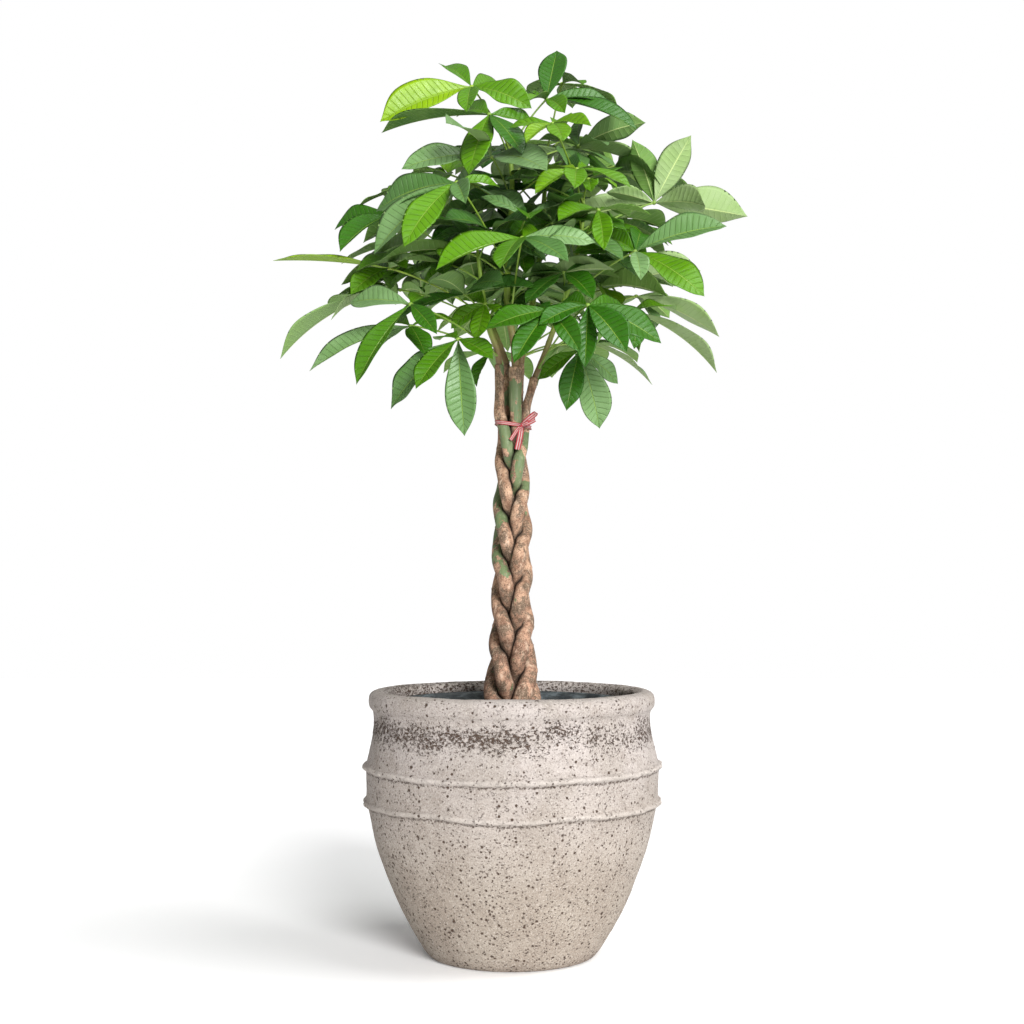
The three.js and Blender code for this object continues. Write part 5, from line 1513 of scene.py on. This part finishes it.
def ranged(value, low, high, out_low=0.0, out_high=1.0):
    """Smooth step between two outputs while a value goes from low to high."""
    values = {"Value": value, "From Min": low, "From Max": high, "To Min": out_low, "To Max": out_high}
    return put(tree_of(value), "ShaderNodeMapRange", values, interpolation_type="SMOOTHSTEP").outputs[0]


def mixed(share, a, b):
    """Colour between two others."""
    values = {0: share, 6: linear(a), 7: linear(b)}
    return put(tree_of(share), "ShaderNodeMix", values, data_type="RGBA").outputs[2]


def coated(colour, *coats):
    """Lays coats over a colour; each coat is its mask and its own colour."""
    for share, coat in coats:
        colour = mixed(share, colour, coat)
    return colour


def noise(vector, scale, detail=3.0, rough=0.55):
    """Noise with this many lumps to a metre."""
    values = {"Vector": vector, "Scale": scale, "Detail": detail, "Roughness": rough}
    return put(tree_of(vector), "ShaderNodeTexNoise", values).outputs["Fac"]


def axis_of(vector, axis):
    return put(tree_of(vector), "ShaderNodeSeparateXYZ", {0: vector}).outputs[axis]


def scaled(vector, scale, turn=(0, 0, 0)):
    """Places for a drawn-out pattern: long along an axis whose scale is under 1."""
    values = {"Vector": vector, "Rotation": turn, "Scale": scale}
    return put(tree_of(vector), "ShaderNodeMapping", values).outputs[0]


def stored(tree, name):
    """A value that the vertices hold under this name."""
    return put(tree, "ShaderNodeAttribute", attribute_name=name).outputs["Fac"]


def effect(name, inputs, outputs):
    """A shader node group and what it is given; an input of None is a vector."""
    group = bpy.data.node_groups.new(name, "ShaderNodeTree")
    for socket, value in inputs.items():
        kind = "NodeSocketVector" if value is None else "NodeSocketFloat"
        made = group.interface.new_socket(socket, in_out="INPUT", socket_type=kind)
        if value is not None:
            made.default_value = value
    for socket in outputs:
        group.interface.new_socket(socket, in_out="OUTPUT", socket_type="NodeSocketFloat")
    return group, group.nodes.new("NodeGroupInput").outputs


def flecks_effect():
    """Scattered ragged flecks: a share of the cells of a grid, each with its own size."""
    inputs = {"Vector": None, "Scale": 100.0, "Share": 0.3, "Reach": 0.35, "Ragged": 0.5}
    group, given = effect("flecks", inputs, ["Mask"])
    offset = times(minus(noise(given["Vector"], 900, 2), 0.5), given["Ragged"])
    cells = put(group, "ShaderNodeTexVoronoi", {"Vector": given["Vector"], "Scale": given["Scale"]})
    chance = put(group, "ShaderNodeSeparateColor", {"Color": cells.outputs["Color"]}).outputs
    near = times(given["Reach"], times_plus(chance["Red"], 0.7, 0.3))
    inside = ranged(minus(near, plus(cells.outputs["Distance"], offset)), -0.03, 0.05)
    chosen = calculated("LESS_THAN", chance["Green"], given["Share"])
    put(group, "NodeGroupOutput", {"Mask": times(inside, chosen)})
    return group


def flecks(group, vector, scale, share, reach, ragged):
    values = {"Vector": vector, "Scale": scale, "Share": share, "Reach": reach, "Ragged": ragged}
    return put(tree_of(vector), "ShaderNodeGroup", values, node_tree=group).outputs["Mask"]


def new_finish(name, roughness, specular):
    """A material, its node tree and shader, and the places on the object."""
    made = bpy.data.materials.new(name)
    made.use_nodes = True
    tree = made.node_tree
    shader = tree.nodes["Principled BSDF"]
    shader.inputs["Roughness"].default_value = roughness
    shader.inputs["Specular IOR Level"].default_value = specular
    return made, tree, shader, put(tree, "ShaderNodeTexCoord").outputs["Object"]


def dress(tree, shader, colour, height, depth, strength, roughness=None):
    """Gives a shader its colour, its bumps with their depth in metres, and its roughness."""
    bump = put(tree, "ShaderNodeBump", {"Height": height, "Distance": depth, "Strength": strength})
    tree.links.new(colour, shader.inputs["Base Color"])
    tree.links.new(bump.outputs[0], shader.inputs["Normal"])
    if roughness is not None:
        tree.links.new(roughness, shader.inputs["Roughness"])


def neck_band(tree, place, height):
    """1 in the crumbled band of the pot's neck and on its worn inside."""
    wavy = times_plus(minus(noise(place, 26, 4, 0.7), 0.5), NECK_WAVE * MM, height)
    away = unsigned(minus(wavy, NECK_HEIGHT * MM))
    patchy = ranged(noise(place, 11, 3), 0.34, 0.54, 0.5, 1.0)
    near, far = NECK_FADE
    band = times(ranged(away, far * MM, near * MM), patchy)
    return larger(band, times(stored(tree, "worn"), 0.75))


def clay_pits(fleck_group, place, band, low, under):
    """Dark flecks of three sizes, and blots in the neck band and, as crumbs and painted shade, under a ridge.
    """
    masks = []
    for scale, share, in_band, when_low, reach, ragged in CLAY_FLECKS:
        share = times_plus(band, in_band, times_plus(low, when_low, share))
        masks.append(flecks(fleck_group, place, scale, share, reach, ragged))
    small, large, tiny = masks
    ragged = noise(scaled(place, (0.7, 0.7, 1), (0, 0.35, 0)), 280, 6, 0.8)
    blots = ranged(times_plus(band, 0.145, ragged), 0.63, 0.655)
    # Crumbled pits and painted shade just under a ridge.
    crumbs_and_ridge_shade = times_plus(under, 0.12, noise(place, 260, 4, 0.75))
    blots = larger(blots, ranged(crumbs_and_ridge_shade, 0.61, 0.66, 0.0, 0.8))
    return larger(times(tiny, 0.75), larger(larger(small, large), blots))


def clay_finish(fleck_group):
    made, tree, shader, place = new_finish("speckled fibre clay", 0.92, 0.25)
    height = axis_of(place, "Z")
    ridge = stored(tree, "ridge")
    cloud = ranged(noise(place, 14, 4), 0.35, 0.65)
    stain = ranged(noise(place, 38, 5, 0.7), 0.5, 0.72, 0.0, 0.35)
    grain = noise(place, 420, 5, 0.8)
    colour = coated(
        # Paler towards the top and darker, warmer lower down: partly painted light from above.
        mixed(ranged(height, 0.34, 0.08), mixed(cloud, *CLAY_COOL), mixed(cloud, *CLAY_WARM)),
        # Stains by noise, and painted shade at the foot where the pot meets the floor.
        (larger(stain, ranged(height, 0.022, 0.0, 0.0, 0.6)), CLAY_STAIN_AND_FOOT_SHADE),
        (ranged(grain, 0.52, 0.66, 0.0, 0.7), CLAY_DARK_GRAIN),
        (ranged(grain, 0.47, 0.34, 0.0, 0.75), CLAY_PALE_GRAIN),
        # Painted highlight along each ridge's crest.
        (ranged(unsigned(ridge), 4.8, 1.6, 0.0, 0.3), CLAY_RIDGE_HIGHLIGHT),
    )
    # Painted shade just under each ridge, which also marks crumbled clay there.
    under = ranged(unsigned(plus(ridge, 6.2)), 3.2, 0.6)
    pits = clay_pits(fleck_group, place, neck_band(tree, place, height), ranged(height, 0.3, 0.12), under)
    colour = mixed(times(pits, 0.93), colour, mixed(noise(place, 300), *CLAY_FLECK))
    relief = plus(times_plus(pits, -1.2, times(grain, 1.1)), times(noise(place, 180, 3), 0.8))
    dress(tree, shader, colour, relief, 0.0013, 1.0)
    return made


def liner_finish():
    made, tree, shader, place = new_finish("dusty grey plastic", 0.5, 0.4)
    lengthways = scaled(place, (1, 1, 5))
    streaks = ranged(noise(lengthways, 24, 5, 0.7), 0.45, 0.68)
    dust = ranged(axis_of(place, "Z"), 0.375, 0.345, 0.1, 0.75)
    dust = times(dust, ranged(noise(place, 60, 5, 0.75), 0.38, 0.66))
    colour = mixed(dust, mixed(streaks, *PLASTIC), PLASTIC_DUST)
    scratches = noise(lengthways, 150, 4, 0.7)
    dress(tree, shader, colour, scratches, 0.0004, 0.5, ranged(scratches, 0.3, 0.7, 0.38, 0.7))
    return made


def earth_finish(name, colours, scale):
    made, tree, shader, place = new_finish(name, 0.95, 0.2)
    cloud = ranged(noise(place, scale, 5, 0.7), 0.4, 0.66)
    fibre = ranged(noise(place, scale * 4, 3, 0.6), 0.6, 0.74, 0.0, 0.6)
    colour = mixed(fibre, mixed(cloud, *colours), EARTH_FIBRE)
    dress(tree, shader, colour, noise(place, scale * 7, 4, 0.7), 0.0016, 1.0)
    return made


def bark_colour(place, lengthways, grain):
    """Brown bark, paler higher up, with mould, grain, pinholes and pale patches."""
    mottled = ranged(noise(place, 62, 5, 0.65), 0.36, 0.64)
    mould = mixed(noise(place, 420, 3), *BARK_MOULD)
    return coated(
        mixed(ranged(axis_of(place, "Z"), 0.62, 0.4), mixed(mottled, *BARK_HIGH), mixed(mottled, *BARK_LOW)),
        (ranged(noise(lengthways, 66, 6, 0.75), 0.47, 0.58, 0.0, 0.85), mould),
        (ranged(grain, 0.52, 0.66, 0.0, 0.78), BARK_DARK_GRAIN),
        (ranged(grain, 0.47, 0.33, 0.0, 0.7), BARK_PALE_GRAIN),
        (ranged(noise(place, 900, 3, 0.8), 0.56, 0.68, 0.0, 0.55), BARK_PINHOLE),
        (ranged(noise(lengthways, 95, 5, 0.7), 0.55, 0.68, 0.0, 0.75), BARK_PALE),
    )


def skin_colour(fleck_group, place, lengthways, streak):
    """Green skin with pale streaks and corky spots."""
    return coated(
        mixed(noise(lengthways, 90, 4), *SKIN),
        (ranged(noise(streak, 420, 3), 0.5, 0.7, 0.0, 0.5), SKIN_STREAK),
        (flecks(fleck_group, place, 230, 0.34, 0.34, 0.6), SKIN_SPOT),
    )


def bark_finish(fleck_group):
    made, tree, shader, place = new_finish("bark with green skin", 0.8, 0.3)
    lengthways = scaled(place, (1, 1, 0.45))
    streak = scaled(place, (1, 1, 0.1))
    grain = noise(place, 520, 4, 0.75)
    ragged = minus(noise(place, 230, 4, 0.7), 0.5)
    green = ranged(plus(stored(tree, "green"), ragged), 0.42, 0.62)
    pores = times(flecks(fleck_group, place, 380, 0.5, 0.4, 0.7), times_plus(green, -0.8, 1.0))
    colour = coated(
        bark_colour(place, lengthways, grain),
        (green, skin_colour(fleck_group, place, lengthways, streak)),
        (times(pores, 0.75), BARK_PORE),
        # Painted shade in the crevices where stems touch.
        (ranged(stored(tree, "crevice"), 0.08, 0.85, 0.0, 0.94), BARK_CREVICE_SHADE),
    )
    relief = times_plus(grain, 0.7, times(noise(streak, 330, 4, 0.7), 0.7))
    relief = times_plus(pores, -0.5, times(relief, times_plus(green, -0.7, 1.0)))
    dress(tree, shader, colour, relief, 0.0009, 0.9, ranged(green, 0.0, 1.0, 0.85, 0.5))
    return made


def veins_effect():
    """Side veins and midrib of a blade from its vein phase and its place across."""
    group, given = effect("leaf veins", {"Phase": 0.0, "Across": 0.0}, ["Veins", "Midrib", "Relief"])
    aside = unsigned(given["Across"])
    part = calculated("FRACT", given["Phase"])
    away = calculated("MINIMUM", part, minus(1.0, part))
    veins = times(ranged(away, 0.12, 0.02), ranged(aside, 1.0, 0.7))
    midrib = ranged(aside, 0.05, 0.015)
    relief = times(larger(veins, midrib), -1.0)
    put(group, "NodeGroupOutput", {"Veins": veins, "Midrib": midrib, "Relief": relief})
    return group


def leaf_tone(tree, young, middle, old, pale):
    """Colour of a blade or a stalk by its tone, from 0 (young) over 1 (old) to 1.5 (pale, partly painted
    sheen).
    """
    tone = stored(tree, "tone")
    return coated(
        mixed(ranged(tone, 0.08, 0.42), young, middle),
        (ranged(tone, 0.5, 0.92), old),
        # Pale grey-green, partly painted sheen.
        (ranged(tone, 0.95, 1.5), pale),
    )


def blade_parts(tree, vein_group):
    values = {"Phase": stored(tree, "vein"), "Across": stored(tree, "across")}
    return put(tree, "ShaderNodeGroup", values, node_tree=vein_group).outputs


def upper_leaf_finish(vein_group):
    made, tree, shader, place = new_finish("leaf, upper side", 0.4, 0.36)
    blade = blade_parts(tree, vein_group)
    cells = noise(place, 700, 3, 0.7)
    colour = coated(
        leaf_tone(tree, *UPPER_LEAF),
        (ranged(noise(place, 30, 4), 0.35, 0.68, 0.0, 0.3), UPPER_CLOUD),
        (ranged(cells, 0.45, 0.7, 0.0, 0.12), UPPER_CELLS),
        (times(blade["Veins"], 0.08), UPPER_VEINS),
        (times(blade["Midrib"], 0.55), UPPER_MIDRIB),
    )
    relief = times_plus(blade["Relief"], 1.0, times(cells, 0.25))
    dress(tree, shader, colour, relief, 0.0011, 0.9, ranged(noise(place, 90, 3), 0.3, 0.7, 0.3, 0.46))
    return made


def under_leaf_finish(vein_group):
    made, tree, shader, place = new_finish("leaf, under side", 0.6, 0.2)
    blade = blade_parts(tree, vein_group)
    colour = coated(
        leaf_tone(tree, *UNDER_LEAF),
        (ranged(noise(place, 34, 4), 0.35, 0.68, 0.0, 0.4), UNDER_CLOUD),
        (times(blade["Veins"], 0.25), UNDER_VEINS),
        (times(blade["Midrib"], 0.7), UNDER_MIDRIB),
    )
    relief = times_plus(blade["Relief"], -1.0, times(noise(place, 700, 3, 0.7), 0.3))
    dress(tree, shader, colour, relief, 0.0005, 0.7)
    return made


def stalk_finish():
    made, tree, shader, place = new_finish("green stalk", 0.5, 0.4)
    colour = coated(
        leaf_tone(tree, *STALK),
        (ranged(noise(place, 60, 4), 0.4, 0.66, 0.0, 0.4), STALK_CLOUD),
        (ranged(stored(tree, "across"), 0.2, 0.95), mixed(noise(place, 240, 4, 0.7), *STALK_WOODY)),
    )
    streak = scaled(place, (1, 1, 0.15))
    dress(tree, shader, colour, noise(streak, 420, 4, 0.65), 0.0008, 0.8)
    return made


def ribbon_finish():
    made, tree, shader, _ = new_finish("red and white striped ribbon", 0.55, 0.35)
    spot = put(tree, "ShaderNodeUVMap", uv_map="UVMap").outputs[0]
    stripe = ranged(sine(times(axis_of(spot, "X"), 2 * math.pi * RIBBON_STRIPES)), -0.15, 0.25)
    fade = noise(spot, 40, 3)
    threads = sine(times(axis_of(spot, "Y"), RIBBON_THREADS))
    colour = mixed(stripe, mixed(fade, *RIBBON_WHITE), mixed(fade, *RIBBON_RED))
    dress(tree, shader, colour, threads, 0.0001, 0.4)
    shader.inputs["Sheen Weight"].default_value = 0.25
    return made


# Stage.
def make_floor():
    mesh = bpy.data.meshes.new("floor")
    half = FLOOR_SIZE / 2 * MM
    corners = [(-half, -half, 0), (half, -half, 0), (half, half, 0), (-half, half, 0)]
    mesh.from_pydata(corners, [], [(0, 1, 2, 3)])
    pale = bpy.data.materials.new("pale floor")
    pale.use_nodes = True
    shader = pale.node_tree.nodes["Principled BSDF"]
    shader.inputs["Base Color"].default_value = (0.99, 0.99, 0.99, 1)
    shader.inputs["Roughness"].default_value = 0.9
    shader.inputs["Specular IOR Level"].default_value = 0.0
    shader.inputs["Emission Color"].default_value = (1, 1, 1, 1)
    shader.inputs["Emission Strength"].default_value = FLOOR_GLOW
    mesh.materials.append(pale)
    add_object("floor", mesh)


def add_sun(name, source, spread, strength):
    lamp = bpy.data.lights.new(name, "SUN")
    lamp.angle = math.radians(spread)
    lamp.energy = strength
    made = add_object(name, lamp)
    made.location = Vector(source) * 3
    made.rotation_euler = (-Vector(source)).to_track_quat("-Z", "Y").to_euler()


def make_light():
    """White surroundings, which are dimmer as a light than to the camera, and soft suns."""
    world = bpy.data.worlds.new("studio")
    world.use_nodes = True
    tree = world.node_tree
    background = tree.nodes["Background"]
    background.inputs["Color"].default_value = (1, 1, 1, 1)
    seen = put(tree, "ShaderNodeLightPath").outputs["Is Camera Ray"]
    tree.links.new(ranged(seen, 0.0, 1.0, DOME_LIGHT, 1.0), background.inputs["Strength"])
    bpy.context.scene.world = world
    for name, settings in SUNS.items():
        add_sun(name, *settings)


def make_camera():
    camera = bpy.data.cameras.new("camera")
    camera.lens = CAMERA_LENS
    camera.sensor_width = CAMERA_SENSOR
    camera.shift_y = CAMERA_SHIFT
    camera.clip_end = CAMERA_REACH * MM
    made = add_object("camera", camera)
    made.location = (0, -CAMERA_DISTANCE * MM, CAMERA_HEIGHT * MM)
    made.rotation_euler = (math.pi / 2, 0, 0)
    bpy.context.scene.camera = made


def make_plant():
    """All pieces of the object, from the stems to the soil."""
    fleck_group = flecks_effect()
    vein_group = veins_effect()
    bark = bark_finish(fleck_group)
    leaf_finishes = [upper_leaf_finish(vein_group), under_leaf_finish(vein_group), stalk_finish()]
    stems = relaxed_stems()
    paths = [stem_path(stem, rings) for stem, rings in enumerate(stems)]
    for stem in range(STEM_COUNT):
        make_stem(stem, paths, bark)
    leaves = LEAVES + far_leaves()
    for shoot in range(len(SHOOTS)):
        make_foliage(shoot, leaves, leaf_finishes)
    make_tie(stems, ribbon_finish())
    make_pot(clay_finish(fleck_group))
    make_liner(liner_finish())
    make_soil(earth_finish("potting soil", SOIL, 160), earth_finish("soil crumbs and bark chips", CRUMBS, 90))


make_camera()
make_light()
make_floor()
make_plant()
bpy.context.scene.view_settings.view_transform = "Standard"
